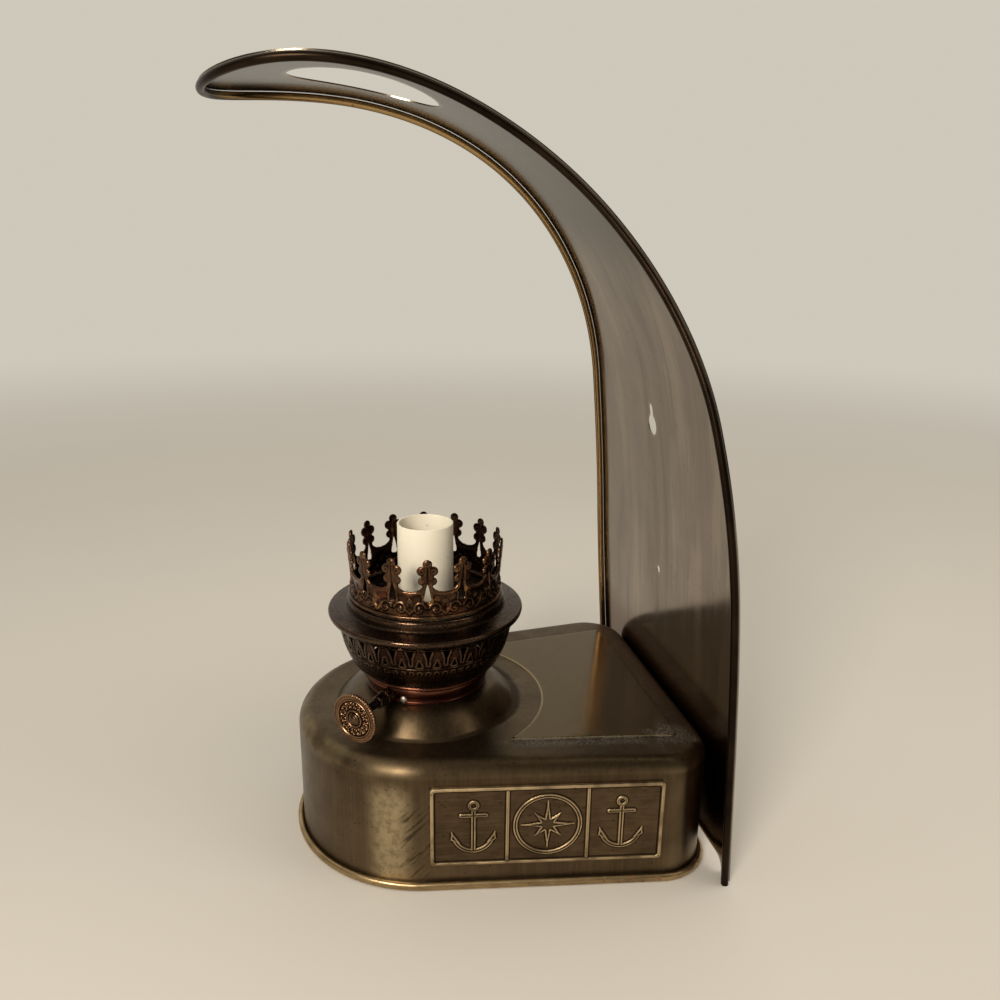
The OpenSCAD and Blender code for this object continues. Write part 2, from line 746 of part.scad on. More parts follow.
module basket_ring() {
    color("sienna") translate([0, 0, ring_z]) rotate_extrude($fn = 96)
        translate([neck_top_r + 0.5, 0]) circle(r = ring_r, $fn = 32);
}

// The basket's radius at a share of its height: flat at its foot, ever steeper up to its rim.
function bowl_r(share) = neck_top_r + 1 + (basket_r - neck_top_r - 1) * pow(share, 0.42);

// The basket: a bowl with a band of frames between pierced wedges, and a row of small holes below.
module basket() {
    shares = [0, 0.01, 0.03, 0.07, 0.13, 0.22, 0.35, 0.52, 0.74, 1];
    band_z = basket_z + basket_h * 0.6;
    band_h = basket_h * 0.36;
    dots_z = basket_z + basket_h * 0.43;
    wide = 2 * PI * basket_r / frames;
    color("saddlebrown") difference() {
        translate([0, 0, basket_z]) rotate_extrude($fn = 96)
            polygon(concat([for (s = shares) [bowl_r(s), s * basket_h]],
                [for (i = [len(shares) - 1:-1:0])
                    let (s = shares[i])
                    [bowl_r(s) - burner_wall, s * basket_h + (1 - s) * burner_wall]],
                [[bowl_r(0) - burner_wall, 0]]));
        for (i = [0:frames - 1])
            rotate([0, 0, i * 360 / frames]) translate([0, -basket_r + 6, 0]) rotate([90, 0, 0]) {
                translate([0, band_z, 0]) linear_extrude(12)
                    polygon([[-0.14 * wide, 0], [0.14 * wide, 0], [0, 0.36 * band_h]]);
                translate([0, dots_z, 0]) cylinder(r = dot_r, h = 12, $fn = 16);
            }
        for (i = [0:frames - 1])
            rotate([0, 0, (i + 0.5) * 360 / frames]) translate([0, -basket_r + 6, band_z]) rotate([90, 0, 0])
                linear_extrude(12)
                    polygon([[-0.04 * wide, 0.12 * band_h], [0.04 * wide, 0.12 * band_h],
                        [0.06 * wide, 0.5 * band_h], [0.22 * wide, band_h], [-0.22 * wide, band_h],
                        [-0.06 * wide, 0.5 * band_h]]);
    }
}

module flange() {
    foot = basket_r;
    collar = crown_r;
    inner = deck_r + seat;
    color("sienna") translate([0, 0, flange_z]) rotate_extrude($fn = 96)
        polygon([[foot - 1.8, 0], [foot + 0.5, 0], [foot + 1.4, 0.7], [flange_r - 0.9, 1.7],
            [flange_r - 0.1, 2.9], [flange_r, 4.2], [flange_r - 0.4, 4.8], [flange_r - 1.2, 5],
            [collar + 2.2, 5.6], [collar + 1.5, 6.1], [collar + 1.3, flange_h - 1.2],
            [collar + 0.6, flange_h], [inner + 0.6, flange_h], [inner, flange_h - 0.6], [inner, 5.1],
            [inner + 3, 4.7], [flange_r - 1.6, 4.1], [flange_r - 0.9, 3.8], [flange_r - 1, 3],
            [flange_r - 1.8, 2.5], [foot + 0.6, 1.6], [foot - 1.8, 0.9]]);
}

module burner_deck() {
    color("saddlebrown") translate([0, 0, deck_z])
        ring_wall(deck_r, sleeve_r + seat + 0.1, burner_wall);
}

module draught_tube() {
    color("sienna") translate([0, 0, draught_z])
        ring_wall(draught_r, draught_r - burner_wall, deck_z - seat - draught_z);
}

module bridge_disc() {
    color("silver") translate([0, 0, bridge_z])
        ring_wall(skirt_r - burner_wall - seat, nipple_r + hole_gap, bridge_t);
}

module nipple() {
    low = bridge_z - seat - nut_h - 2;
    color("silver") translate([0, 0, low])
        ring_wall(nipple_r, nipple_bore_r, holder_z + 7 - low);
}

module nipple_nut_low() {
    color("silver") translate([0, 0, bridge_z - seat - nut_h])
        hex_nut(nut_r, nipple_r + hole_gap, nut_h);
}

module nipple_nut_top() {
    color("silver") translate([0, 0, bridge_z + bridge_t + seat])
        hex_nut(nut_r, nipple_r + hole_gap, nut_h);
}

module lampholder() {
    body_r = sleeve_r - sleeve_wall - seat;
    cavity_r = socket_bore_r + 1.2 + seat;
    color("dimgray") difference() {
        union() {
            translate([0, 0, holder_z]) cylinder(r = sleeve_r, h = holder_foot_h, $fn = 96);
            translate([0, 0, holder_z]) cylinder(r = body_r, h = holder_top - holder_z, $fn = 96);
        }
        translate([0, 0, holder_z - 1]) cylinder(r = nipple_r + hole_gap, h = holder_bore_h + 1, $fn = 48);
        translate([0, 0, socket_z - 2]) cylinder(r = cavity_r, h = holder_top - socket_z + 3, $fn = 64);
    }
}

module socket_shell() {
    color("goldenrod") translate([0, 0, socket_z])
        ring_wall(socket_bore_r + 1.2, socket_bore_r, socket_l);
}

module socket_contact() {
    color("gold") translate([0, 0, socket_z - 2 + seat]) {
        cylinder(r = 5.5, h = 0.8, $fn = 48);
        cylinder(r = 2.2, h = 2 - 2 * seat, $fn = 32);
    }
}

module shaft_bush() {
    bush_from = neck_foot_r - 1.5;
    nut_from = neck_top_r + seat;
    nut_l = 4;
    bush_to = nut_from + nut_l + bush_reach;
    color("saddlebrown") on_winder() difference() {
        union() {
            translate([0, 0, bush_from]) cylinder(r = bush_r, h = bush_to - bush_from, $fn = 48);
            translate([0, 0, nut_from]) cylinder(r = bush_r + 0.7, h = nut_l, $fn = 48);
        }
        translate([0, 0, bush_from - 1]) cylinder(r = shaft_r + running, h = bush_to - bush_from + 2, $fn = 48);
    }
}

module winder_shaft() {
    inner = draught_r + 1.2;
    outer = knob_at + knob_t + 0.9;
    color("saddlebrown") on_winder() translate([0, 0, inner]) cylinder(r = shaft_r, h = outer - inner, $fn = 48);
}

// The knob: a disc with a notched rim, a raised ring, a wreath of petals and a raised hub.
module winder_knob() {
    field_t = knob_t - 0.7;
    ring_r1 = knob_r * 0.76;
    hub_r = shaft_r + 1.9;
    color("chocolate") on_winder() translate([0, 0, knob_at]) difference() {
        union() {
            rotate_extrude($fn = 96)
                polygon([[shaft_r + running / 2, 0], [knob_r, 0], [knob_r, knob_t - 0.4],
                    [ring_r1 + 1, knob_t - 0.4], [ring_r1 + 0.7, knob_t], [ring_r1, knob_t],
                    [ring_r1 - 0.3, field_t], [hub_r + 0.2, field_t], [hub_r, knob_t + 0.3],
                    [hub_r - 0.8, knob_t + 0.3], [hub_r - 1, field_t], [shaft_r + running / 2, field_t]]);
            for (i = [0:knob_petals - 1]) {
                rotate([0, 0, i * 360 / knob_petals])
                    translate([ring_r1 - 1.7, 0, field_t - 0.3]) cylinder(r = 1, h = 0.7, $fn = 24);
                rotate([0, 0, (i + 0.5) * 360 / knob_petals])
                    translate([hub_r + 1.5, 0, field_t - 0.3]) cylinder(r = 0.8, h = 0.7, $fn = 24);
            }
        }
        for (i = [0:knob_notches - 1])
            rotate([0, 0, (i + 0.5) * 360 / knob_notches]) translate([knob_r + 0.15, 0, -1])
                cylinder(r = 0.45, h = knob_t + 2, $fn = 6);
    }
}

// The washer that holds the knob on the shaft, sunk in the knob's hub.
module knob_rivet() {
    field_t = knob_t - 0.7;
    color("saddlebrown") on_winder() translate([0, 0, knob_at + field_t + 0.2])
        ring_wall(shaft_r + 0.75, shaft_r + running / 2, 1);
}

module star_wheels() {
    teeth = 6;
    wheel_r = 3;
    wheel_t = 1.2;
    color("saddlebrown") on_winder() for (at = [draught_r + 2, neck_foot_r - burner_wall - 3.6])
        translate([0, 0, at]) difference() {
            linear_extrude(wheel_t)
                polygon([for (i = [0:2 * teeth - 1])
                    let (r = i % 2 == 0 ? wheel_r : wheel_r * 0.8)
                    r * [cos(i * 180 / teeth), sin(i * 180 / teeth)]]);
            translate([0, 0, -1]) cylinder(r = shaft_r + running / 2, h = wheel_t + 2, $fn = 48);
        }
}

// One finial seen flat: a round tip and two pairs of lobes on a leaf that spreads into the band.
module finial() {
    tip = crown_h;
    top_r = 2.05;
    side_r = 2.2;
    low_r = 1.9;
    spread = PI * crown_r / finials;
    translate([0, tip - top_r]) circle(r = top_r, $fn = 32);
    for (side = [-1, 1]) {
        translate([side * (4.65 - side_r), tip - 5.2]) circle(r = side_r, $fn = 32);
        translate([side * (4.2 - low_r), tip - 9.9]) circle(r = low_r, $fn = 32);
    }
    for (side = [-1, 1])
        scale([side, 1]) polygon([[-0.1, tip - 2], [1.6, tip - 3], [2.85, tip - 8], [2.4, tip - 12.8],
            [spread * 0.44, crown_band_h + 1.2], [spread * 0.66, crown_band_h + 0.3],
            [spread * 0.9, crown_band_h - 1], [-0.1, crown_band_h - 1]]);
}

// The tall opening in a finial's foot, narrow at its top.
module finial_opening() {
    low = crown_band_h - 4.5;
    polygon([[-1.4, low], [1.4, low], [1.75, low + 0.6], [0.9, low + 5], [0, low + 8.5],
        [-0.9, low + 5], [-1.75, low + 0.6]]);
}

module crown() {
    pitch = 360 / finials;
    wall = burner_wall;
    cut = 6;
    color("saddlebrown") {
        difference() {
            intersection() {
                translate([0, 0, crown_z]) ring_wall(crown_r, crown_r - wall, crown_h);
                union() {
                    translate([0, 0, crown_z]) cylinder(r = crown_r + 1, h = crown_band_h, $fn = 96);
                    for (i = [0:finials - 1])
                        rotate([0, 0, crown_turn + 90 + i * pitch])
                            translate([0, -crown_r + cut / 2, crown_z]) rotate([90, 0, 0])
                                linear_extrude(cut) finial();
                }
            }
            for (i = [0:finials - 1])
                rotate([0, 0, crown_turn + 90 + i * pitch])
                    translate([0, -crown_r + cut / 2, crown_z]) rotate([90, 0, 0])
                        linear_extrude(cut) finial_opening();
        }
        translate([0, 0, crown_z + 0.9]) rotate_extrude($fn = 96)
            translate([crown_r - wall / 2, 0]) circle(r = 0.9, $fn = 24);
    }
}

module candle_sleeve() {
    color("ivory") translate([0, 0, sleeve_z])
        ring_wall(sleeve_r, sleeve_r - sleeve_wall, sleeve_l);
}

tank_shell();
tank_bottom();
tank_socket_ring();
plaque_near();
plaque_far();
reflector();
rim_bead();
plate_screw_near();
plate_screw_far();
plate_nut_near();
plate_nut_far();
plate_spacer_near();
plate_spacer_far();
cable_bush();
terminal_block();
terminal_screw_left();
terminal_screw_right();
earth_screw();
inner_lead();
burner_neck();
basket_ring();
basket();
flange();
burner_deck();
draught_tube();
bridge_disc();
nipple();
nipple_nut_low();
nipple_nut_top();
lampholder();
socket_shell();
socket_contact();
neck_rivet();
shaft_bush();
winder_shaft();
winder_knob();
knob_rivet();
star_wheels();
crown();
candle_sleeve();
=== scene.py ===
import json
import math

import bmesh
import bpy
import numpy as np
from mathutils import Matrix, Vector


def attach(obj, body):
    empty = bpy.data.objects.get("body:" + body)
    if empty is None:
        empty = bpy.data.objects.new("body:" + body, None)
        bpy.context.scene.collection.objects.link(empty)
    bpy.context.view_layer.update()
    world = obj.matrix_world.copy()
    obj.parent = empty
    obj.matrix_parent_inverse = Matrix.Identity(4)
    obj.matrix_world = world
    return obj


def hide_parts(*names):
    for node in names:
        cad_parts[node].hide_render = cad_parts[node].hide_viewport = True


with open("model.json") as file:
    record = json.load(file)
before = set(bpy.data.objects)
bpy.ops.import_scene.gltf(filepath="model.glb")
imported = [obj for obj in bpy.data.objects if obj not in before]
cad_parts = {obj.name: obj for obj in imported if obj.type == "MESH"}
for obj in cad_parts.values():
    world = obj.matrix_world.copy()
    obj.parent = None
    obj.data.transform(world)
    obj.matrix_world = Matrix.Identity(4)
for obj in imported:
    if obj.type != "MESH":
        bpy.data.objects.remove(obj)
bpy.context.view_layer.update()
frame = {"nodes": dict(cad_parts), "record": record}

# Sizes are in millimetres, as in the part's source, and become metres when a mesh is made.
MM = 0.001
TURN = 2 * math.pi

TANK_FRONT_R = 61.5
TANK_BACK = 120.8
TANK_CORNER_R = 21.5
TANK_CORNER_X = 75 - TANK_CORNER_R
TANK_CORNER_Y = TANK_BACK - TANK_CORNER_R
TANK_H = 61
SHOULDER_R = 7
TANK_WALL = 0.9
DOME_R = 42.5
DOME_TOP = 71
SEAT_R = 29.4
PANEL_ARC_R = 56.5
PLAQUE_L, PLAQUE_H, PLAQUE_Z = 102, 38.6, 31.6

SIDE_TURN = math.atan2(TANK_CORNER_X, TANK_CORNER_Y) - math.asin(
    (TANK_FRONT_R - TANK_CORNER_R) / math.hypot(TANK_CORNER_X, TANK_CORNER_Y))
SIDE_OUT = np.array([math.cos(SIDE_TURN), -math.sin(SIDE_TURN)])
SIDE_ALONG = np.array([math.sin(SIDE_TURN), math.cos(SIDE_TURN)])
SIDE_START = TANK_FRONT_R * SIDE_OUT
SIDE_END = np.array([TANK_CORNER_X, TANK_CORNER_Y]) + TANK_CORNER_R * SIDE_OUT
SIDE_L = float(np.hypot(*(SIDE_END - SIDE_START)))

SHEET_Y = 124.876
SHEET_T = 0.8
LEAN = math.radians(4)
STRAIGHT = 129
BEND_R = (695, 165, 149)
BEND_TO = (math.radians(10.5), math.radians(41), math.radians(106))
WIDTH_KNOTS = np.array([[0, 83.5, 0.045], [105, 86.5, 0], [227, 69, -0.33], [348, 38.5, 0], [413, 43.5, 0]])
HOOD_AT, HOOD_W = 413, 43.5
BEAD_R = 1.7

NECK_Z = 71.3
BASKET_Z, BASKET_H, BASKET_R, BASKET_FOOT_R = 82.1, 23.2, 41.3, 31
FRAMES = 32
FLANGE_Z = 105.6
CROWN_Z, CROWN_R, CROWN_H = 116.4, 35.5, 28.1
FINIALS = 14
CROWN_TURN = math.radians(20.2)
SLEEVE_R, SLEEVE_Z, SLEEVE_TOP = 13, 86.2, 150.2
WINDER_DIR = math.radians(-41.7)
SHAFT_Z, SHAFT_R, KNOB_AT, KNOB_R = 75.5, 1.9, 53.4, 11.4


def ease(low, high, x):
    """A soft step: 0 up to low, 1 from high on, and a smooth S between."""
    t = np.clip((x - low) / (high - low), 0, 1)
    return t * t * (3 - 2 * t)


def ridge(x, at, width):
    """A rounded ridge of height 1 at the place at, fading over width to both sides."""
    return np.exp(-((x - at) / width) ** 2)


def quads(rows, cols, closed=True):
    """Faces of a grid of rows by cols points; closed joins the last column to the first."""
    i = np.arange(rows - 1)[:, None] * cols
    j = np.arange(cols if closed else cols - 1)[None, :]
    k = (j + 1) % cols
    return np.stack([i + j, i + k, i + cols + k, i + cols + j], -1).reshape(-1, 4)


def lathe(profile, turns=192):
    """Each profile point (r, z) swept round the z axis; a closed profile gives a solid ring."""
    r, z = np.asarray(profile, float).T
    a = np.arange(turns) / turns * TURN
    x = r[:, None] * np.cos(a)
    y = r[:, None] * np.sin(a)
    points = np.stack([x, y, np.broadcast_to(z[:, None], x.shape)], -1)
    return points.reshape(-1, 3), quads(len(r), turns)


def closed(profile):
    """The profile with its first point again at its end."""
    p = np.asarray(profile, float)
    return np.vstack([p, p[:1]])


def soften(corners, reach, steps=4):
    """A closed outline whose corners are rounded: each corner becomes a parabola between two points
    on its edges, reach away from it and never past the middle of an edge."""
    p = np.asarray(corners, float)
    before = np.roll(p, 1, 0) - p
    after = np.roll(p, -1, 0) - p
    long_b = np.hypot(*before.T)
    long_a = np.hypot(*after.T)
    reach = np.broadcast_to(np.asarray(reach, float), long_a.shape)
    start = p + before * (np.minimum(reach, 0.48 * long_b) / long_b)[:, None]
    end = p + after * (np.minimum(reach, 0.48 * long_a) / long_a)[:, None]
    t = np.linspace(0, 1, steps + 1)[None, :, None]
    curve = (1 - t) ** 2 * start[:, None] + 2 * t * (1 - t) * p[:, None] + t ** 2 * end[:, None]
    return curve.reshape(-1, 2)


def tube(path, side, r, sides=16):
    """A round tube: on each path point a circle in the plane of side and of the path's cross direction."""
    t = np.gradient(path, axis=0)
    w = np.cross(t, side)
    w /= np.linalg.norm(w, axis=1)[:, None]
    a = np.arange(sides) / sides * TURN
    ring = np.cos(a)[None, :, None] * side[:, None] + np.sin(a)[None, :, None] * w[:, None]
    points = (path[:, None] + r * ring).reshape(-1, 3)
    last = len(points) - sides
    caps = [list(range(sides)), list(range(last, last + sides))]
    return points, quads(len(path), sides).tolist() + caps


def disc(x, y, cx, cy, r):
    """Distance to a circle, negative inside."""
    return np.hypot(x - cx, y - cy) - r


def slab(x, y, cx, cy, half_x, half_y, r=0.0):
    """Distance to a rectangle with corners of radius r, negative inside."""
    dx = np.abs(x - cx) - half_x + r
    dy = np.abs(y - cy) - half_y + r
    return np.hypot(np.maximum(dx, 0), np.maximum(dy, 0)) + np.minimum(np.maximum(dx, dy), 0) - r


def bar(x, y, a, b, r):
    """Distance to a straight bar from a to b with round ends of radius r."""
    ex, ey = b[0] - a[0], b[1] - a[1]
    t = np.clip(((x - a[0]) * ex + (y - a[1]) * ey) / (ex * ex + ey * ey), 0, 1)
    return np.hypot(x - a[0] - ex * t, y - a[1] - ey * t) - r


def patch(x, y, corners):
    """Distance to a straight-sided outline: the least distance to its edges, with the sign
    from how often a level line crosses them."""
    p = np.asarray(corners, float)
    least = np.full(np.shape(x), 1e9)
    sign = np.ones(np.shape(x))
    for a, b in zip(p, np.roll(p, 1, 0)):
        ex, ey = b - a
        wx, wy = x - a[0], y - a[1]
        t = np.clip((wx * ex + wy * ey) / (ex * ex + ey * ey), 0, 1)
        least = np.minimum(least, (wx - ex * t) ** 2 + (wy - ey * t) ** 2)
        above, below, left = y >= a[1], y < b[1], ex * wy > ey * wx
        sign = np.where((above & below & left) | ~(above | below | left), -sign, sign)
    return sign * np.sqrt(least)


def oval(x, y, cx, cy, a, b):
    """Distance to an ellipse with half axes a and b, from its level function over its slope."""
    dx, dy = (x - cx), (y - cy)
    k = np.hypot(dx / a, dy / b)
    slope = np.hypot(dx / a ** 2, dy / b ** 2) + 1e-9
    return k * (k - 1) / slope


def pierced(u, v, inside, front, back, reach, period=None):
    """A thin sheet with openings on the grid lines u (across) and v (along). inside(x, y) is the distance
    to the sheet's edge, negative on metal. A cell stays when its middle is on metal, and the points
    on a cut slide to the edge down the slope of inside. front and back place the two faces from
    (x, y, depth behind the edge), and a strip joins them along every cut."""
    rows, cols = len(v), len(u)
    after = np.append(u[1:], u[0] + period) if period else u[1:]
    middle = np.meshgrid((u[:len(after)] + after) / 2, (v[1:] + v[:-1]) / 2)
    keep = inside(*middle) < 0
    face = quads(rows, cols, period is not None).reshape(keep.shape + (4,))[keep]
    n = rows * cols
    start, end = face.ravel(), np.roll(face, -1, 1).ravel()
    cut = ~np.isin(start * n + end, end * n + start)
    a, b = start[cut], end[cut]
    rim = np.unique(np.concatenate([a, b]))
    x, y = (m.ravel().copy() for m in np.meshgrid(u, v))
    near = np.abs(inside(x[rim], y[rim])) < reach
    rim, step = rim[near], 0.02
    for _ in range(3):
        f = inside(x[rim], y[rim])
        fx = (inside(x[rim] + step, y[rim]) - inside(x[rim] - step, y[rim])) / (2 * step)
        fy = (inside(x[rim], y[rim] + step) - inside(x[rim], y[rim] - step)) / (2 * step)
        f /= np.maximum(fx * fx + fy * fy, 0.3)
        x[rim] -= f * fx
        y[rim] -= f * fy
    deep = np.maximum(-inside(x, y), 0)
    strip = np.stack([b, a, a + n, b + n], 1)
    faces = np.concatenate([face, face[:, ::-1] + n, strip])
    used, flat = np.unique(faces, return_inverse=True)
    points = np.concatenate([front(x, y, deep), back(x, y, deep)])[used]
    return points, flat.reshape(-1, 4)


def mark_edges(mesh):
    """Writes the point attribute edge: each point's rise over its neighbours along its normal,
    averaged once with theirs, as 0.5 on smooth metal, 1 on ridges and 0 in grooves."""
    n = len(mesh.vertices)
    place = np.empty(n * 3, np.float32)
    normal = np.empty(n * 3, np.float32)
    pair = np.empty(len(mesh.edges) * 2, np.int32)
    mesh.vertices.foreach_get("co", place)
    mesh.vertex_normals.foreach_get("vector", normal)
    mesh.edges.foreach_get("vertices", pair)
    place, normal, pair = place.reshape(-1, 3), normal.reshape(-1, 3), pair.reshape(-1, 2)
    a, b = pair.T
    step = place[b] - place[a]
    step /= np.maximum(np.linalg.norm(step, axis=1), 1e-9)[:, None]
    count = np.bincount(a, minlength=n) + np.bincount(b, minlength=n)
    count = np.maximum(count, 1)
    rise = np.bincount(a, -(step * normal[a]).sum(1), n) + np.bincount(b, (step * normal[b]).sum(1), n)
    rise /= count
    around = np.bincount(a, rise[b], n) + np.bincount(b, rise[a], n)
    rise = (rise + around / count) / 2
    edge = np.clip(0.5 + 2.6 * rise, 0, 1).astype(np.float32)
    mesh.attributes.new("edge", "FLOAT", "POINT").data.foreach_set("value", edge)


def make(name, parts, finish, body, stands_for=(), crease=35):
    """One piece from (points, faces) pairs: doubles merged, faces outward, edges over crease degrees sharp."""
    points, faces, first = [], [], 0
    for p, f in parts:
        p = np.asarray(p, float).reshape(-1, 3)
        points.append(p * MM)
        if isinstance(f, np.ndarray):
            faces += (f + first).tolist()
        else:
            faces += [[i + first for i in face] for face in f]
        first += len(p)
    mesh = bpy.data.meshes.new(name)
    mesh.from_pydata(np.concatenate(points).tolist(), [], faces)
    work = bmesh.new()
    work.from_mesh(mesh)
    bmesh.ops.remove_doubles(work, verts=work.verts, dist=2e-6)
    bmesh.ops.recalc_face_normals(work, faces=work.faces)
    work.to_mesh(mesh)
    work.free()
    mesh.shade_smooth()
    mesh.set_sharp_from_angle(angle=math.radians(crease))
    mark_edges(mesh)
    mesh.materials.append(finish)
    piece = bpy.data.objects.new(name, mesh)
    bpy.context.scene.collection.objects.link(piece)
    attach(piece, body)
    if stands_for:
        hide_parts(*stands_for)
    return piece


# Shapes of the tank

def tank_plan(out, count=480):
    """The tank's outline moved outward by out, at count even directions from the burner's axis:
    the front arc, two corner arcs and the straight lines that touch them, cut by each ray."""
    def arc(cx, cy, r, start, end):
        t = np.linspace(start, end, 160)
        return np.stack([cx + r * np.cos(t), cy + r * np.sin(t)], 1)
    ring = closed(np.concatenate([
        arc(TANK_CORNER_X, TANK_CORNER_Y, TANK_CORNER_R + out, -SIDE_TURN, math.pi / 2),
        arc(-TANK_CORNER_X, TANK_CORNER_Y, TANK_CORNER_R + out, math.pi / 2, math.pi + SIDE_TURN),
        arc(0, 0, TANK_FRONT_R + out, math.pi + SIDE_TURN, TURN - SIDE_TURN)]))
    along = np.append(0, np.cumsum(np.hypot(*np.diff(ring, axis=0).T)))
    s = np.linspace(0, along[-1], 9000)
    x, y = np.interp(s, along, ring[:, 0]), np.interp(s, along, ring[:, 1])
    ray = np.arange(count) / count * TURN
    turn = np.arctan2(y, x) % TURN
    return np.stack([np.interp(ray, turn, x, period=TURN), np.interp(ray, turn, y, period=TURN)], 1)


def level(plan, z):
    """A plan outline at height z."""
    return np.column_stack([plan, np.full(len(plan), float(z))])


def hoop(r, z, count=480):
    """A circle about the burner's axis at height z, with the same rays as the tank's plan."""
    ray = np.arange(count) / count * TURN
    return np.stack([r * np.cos(ray), r * np.sin(ray), np.full(count, float(z))], 1)


def tank_walls():
    """The tank's wall, its quarter-round shoulder, the flat top drawn in to the dome's foot,
    the dome as a quarter sine, the burner's seat, and the same way back inside."""
    bend_z = TANK_H - SHOULDER_R
    rings = [level(tank_plan(0), z) for z in (1.5, 4, 18, 32, 44, 50, 53, bend_z)]
    for a in np.radians(np.arange(7.5, 91, 7.5)):
        rings.append(level(tank_plan(-SHOULDER_R * (1 - math.cos(a))), bend_z + SHOULDER_R * math.sin(a)))
    rim, foot = rings[-1], hoop(DOME_R + 0.5, TANK_H)
    rings += [rim + (foot - rim) * t for t in (0.04, 0.2, 0.4, 0.6, 0.8, 0.95, 1)]
    for t in np.linspace(0, 1, 26)[1:]:
        rings.append(hoop(DOME_R + (SEAT_R - DOME_R) * t, TANK_H + (DOME_TOP - TANK_H) * math.sin(t * math.pi / 2)))
    rings += [hoop(23.5, DOME_TOP), hoop(23.15, DOME_TOP - 0.2), hoop(23.15, DOME_TOP - 0.9)]
    for t in np.linspace(1, 0, 10):
        rings.append(hoop(DOME_R + (SEAT_R - DOME_R) * t, TANK_H - 0.9 + (DOME_TOP - TANK_H) * math.sin(t * math.pi / 2)))
    rings += [level(tank_plan(-SHOULDER_R), TANK_H - 0.9), level(tank_plan(-TANK_WALL), bend_z - 1)]
    rings += [level(tank_plan(-TANK_WALL), 1.5), rings[0]]
    return np.concatenate(rings), quads(len(rings), 480)


def panel_outline():
    """The raised panel seen from above: a hollow arc about the burner, two sides 19 mm inside
    the tank's sides, and a straight back edge, with soft corners. 150 points run from the right tip
    round the back to the left one, and 150 back along the arc."""
    edge = SIDE_START - 19 * SIDE_OUT
    t = np.linspace(0, 90, 4000)
    along = edge + t[:, None] * SIDE_ALONG
    near = along[np.argmin(np.abs(np.hypot(*along.T) - PANEL_ARC_R))]
    far = edge + SIDE_ALONG * (TANK_BACK - 13.5 - edge[1]) / SIDE_ALONG[1]
    tip = math.atan2(near[1], near[0])
    a = np.linspace(math.pi - tip, tip, 90)[1:-1]
    arc = PANEL_ARC_R * np.stack([np.cos(a), np.sin(a)], 1)
    corners = np.vstack([near, far, [-far[0], far[1]], [-near[0], near[1]], arc])
    reach = np.concatenate([[1.4, 4, 4, 1.4], np.full(len(arc), 0.2)])
    line = closed(soften(corners, reach, 8))
    along = np.append(0, np.cumsum(np.hypot(*np.diff(line, axis=0).T)))
    tips = along[4], along[31]
    share = np.arange(150) / 150
    s = np.concatenate([tips[0] + share * (tips[1] - tips[0]), tips[1] + share * (along[-1] + tips[0] - tips[1])])
    return np.stack([np.interp(s, along, line[:, k], period=along[-1]) for k in (0, 1)], 1)


def tank_panel():
    """The panel's outline at growing depths inward: a swept edge 0.8 mm high, then a level field."""
    line = panel_outline()
    step = np.roll(line, -1, 0) - np.roll(line, 1, 0)
    out = np.stack([step[:, 1], -step[:, 0]], 1)
    out /= np.hypot(*out.T)[:, None]
    edge = ((0.7, 60.6), (0.62, 61.0), (0.4, 61.1), (0.15, 61.32), (-0.1, 61.58), (-0.35, 61.74),
            (-0.7, 61.8), (-1.2, 61.8))
    rings = [level(line + out * d, z) for d, z in edge]
    n = len(line)
    i = np.arange(n // 2 - 1)
    cap = np.stack([i, i + 1, n - 2 - i, n - 1 - i], 1)
    faces = np.concatenate([quads(len(rings), n), cap, cap + n * (len(rings) - 1)])
    return np.concatenate(rings), faces


def seam_and_bottom():
    """The bottom sheet and the folded seam: a flat oval bead carried round the tank's plan."""
    line = [(-4, 0), (-0.5, 0), (0.8, 0.03)]
    for a in np.radians(np.arange(-68, 160, 12)):
        line.append((1.55 + 1.45 * math.cos(a), 1.9 + 1.9 * math.sin(a)))
    line += [(0.35, 3.0), (0.12, 2.6), (0.1, 1.2), (-4, 1.2)]
    rings = [level(tank_plan(out), z) for out, z in line]
    rings = [rings[0] * [0, 0, 1]] + rings + [rings[-1] * [0, 0, 1]]
    return np.concatenate(rings), quads(len(rings), 480)


def anchor(x, y, cx):
    """Distance to an anchor: an eye, a shank, a stock, a round arm and two flukes."""
    x = np.abs(x - cx)
    arm = np.maximum(np.abs(disc(x, y, 0, -3.6, 8.5)) - 0.95, y + 6.9)
    eye = np.abs(disc(x, y, 0, 10.6, 1.8)) - 0.65
    shank = slab(x, y, 0, -2, 0.95, 10.4, 0.3)
    stock = bar(x, y, (0, 5.7), (5.4, 5.7), 0.85)
    fluke = patch(x, y, [(5.7, -8.2), (9.9, -6.4), (9.4, -2.6)])
    return np.minimum.reduce([arm, eye, shank, stock, fluke])


def star(x, y, long, middle, short):
    """Distance to a star of four long and four middle rays."""
    k = np.arange(16)
    r = np.where(k % 2 == 1, short, np.where(k % 4 == 0, long, middle))
    a = k / 16 * TURN
    return patch(x, y, np.stack([r * np.sin(a), r * np.cos(a)], 1))


def plaque_relief(x, y):
    """Height of the relief over the sheet: each figure is raised a little, with a bright rib on its outline."""
    figures = np.minimum.reduce([
        star(x, y, 11.6, 8.0, 3.3),
        np.abs(disc(x, y, 0, 0, 14.2)) - 0.9,
        anchor(x, y, 32.4),
        anchor(x, y, -32.4)])
    rope = np.minimum.reduce([
        slab(x, y, side * 17.6, 0, 0.7, PLAQUE_H / 2, 0.3) for side in (-1, 1)])
    frame_line = -slab(x, y, 0, 0, PLAQUE_L / 2 - 1.5, PLAQUE_H / 2 - 1.5, 1.2)
    lift = 0.32 * ease(0.35, -0.35, figures) + 0.3 * ridge(figures, -0.3, 0.42)
    lift = np.maximum(lift, 0.62 * ease(0.35, -0.3, rope))
    return np.maximum(lift, 0.78 * ease(0.45, -0.45, frame_line))


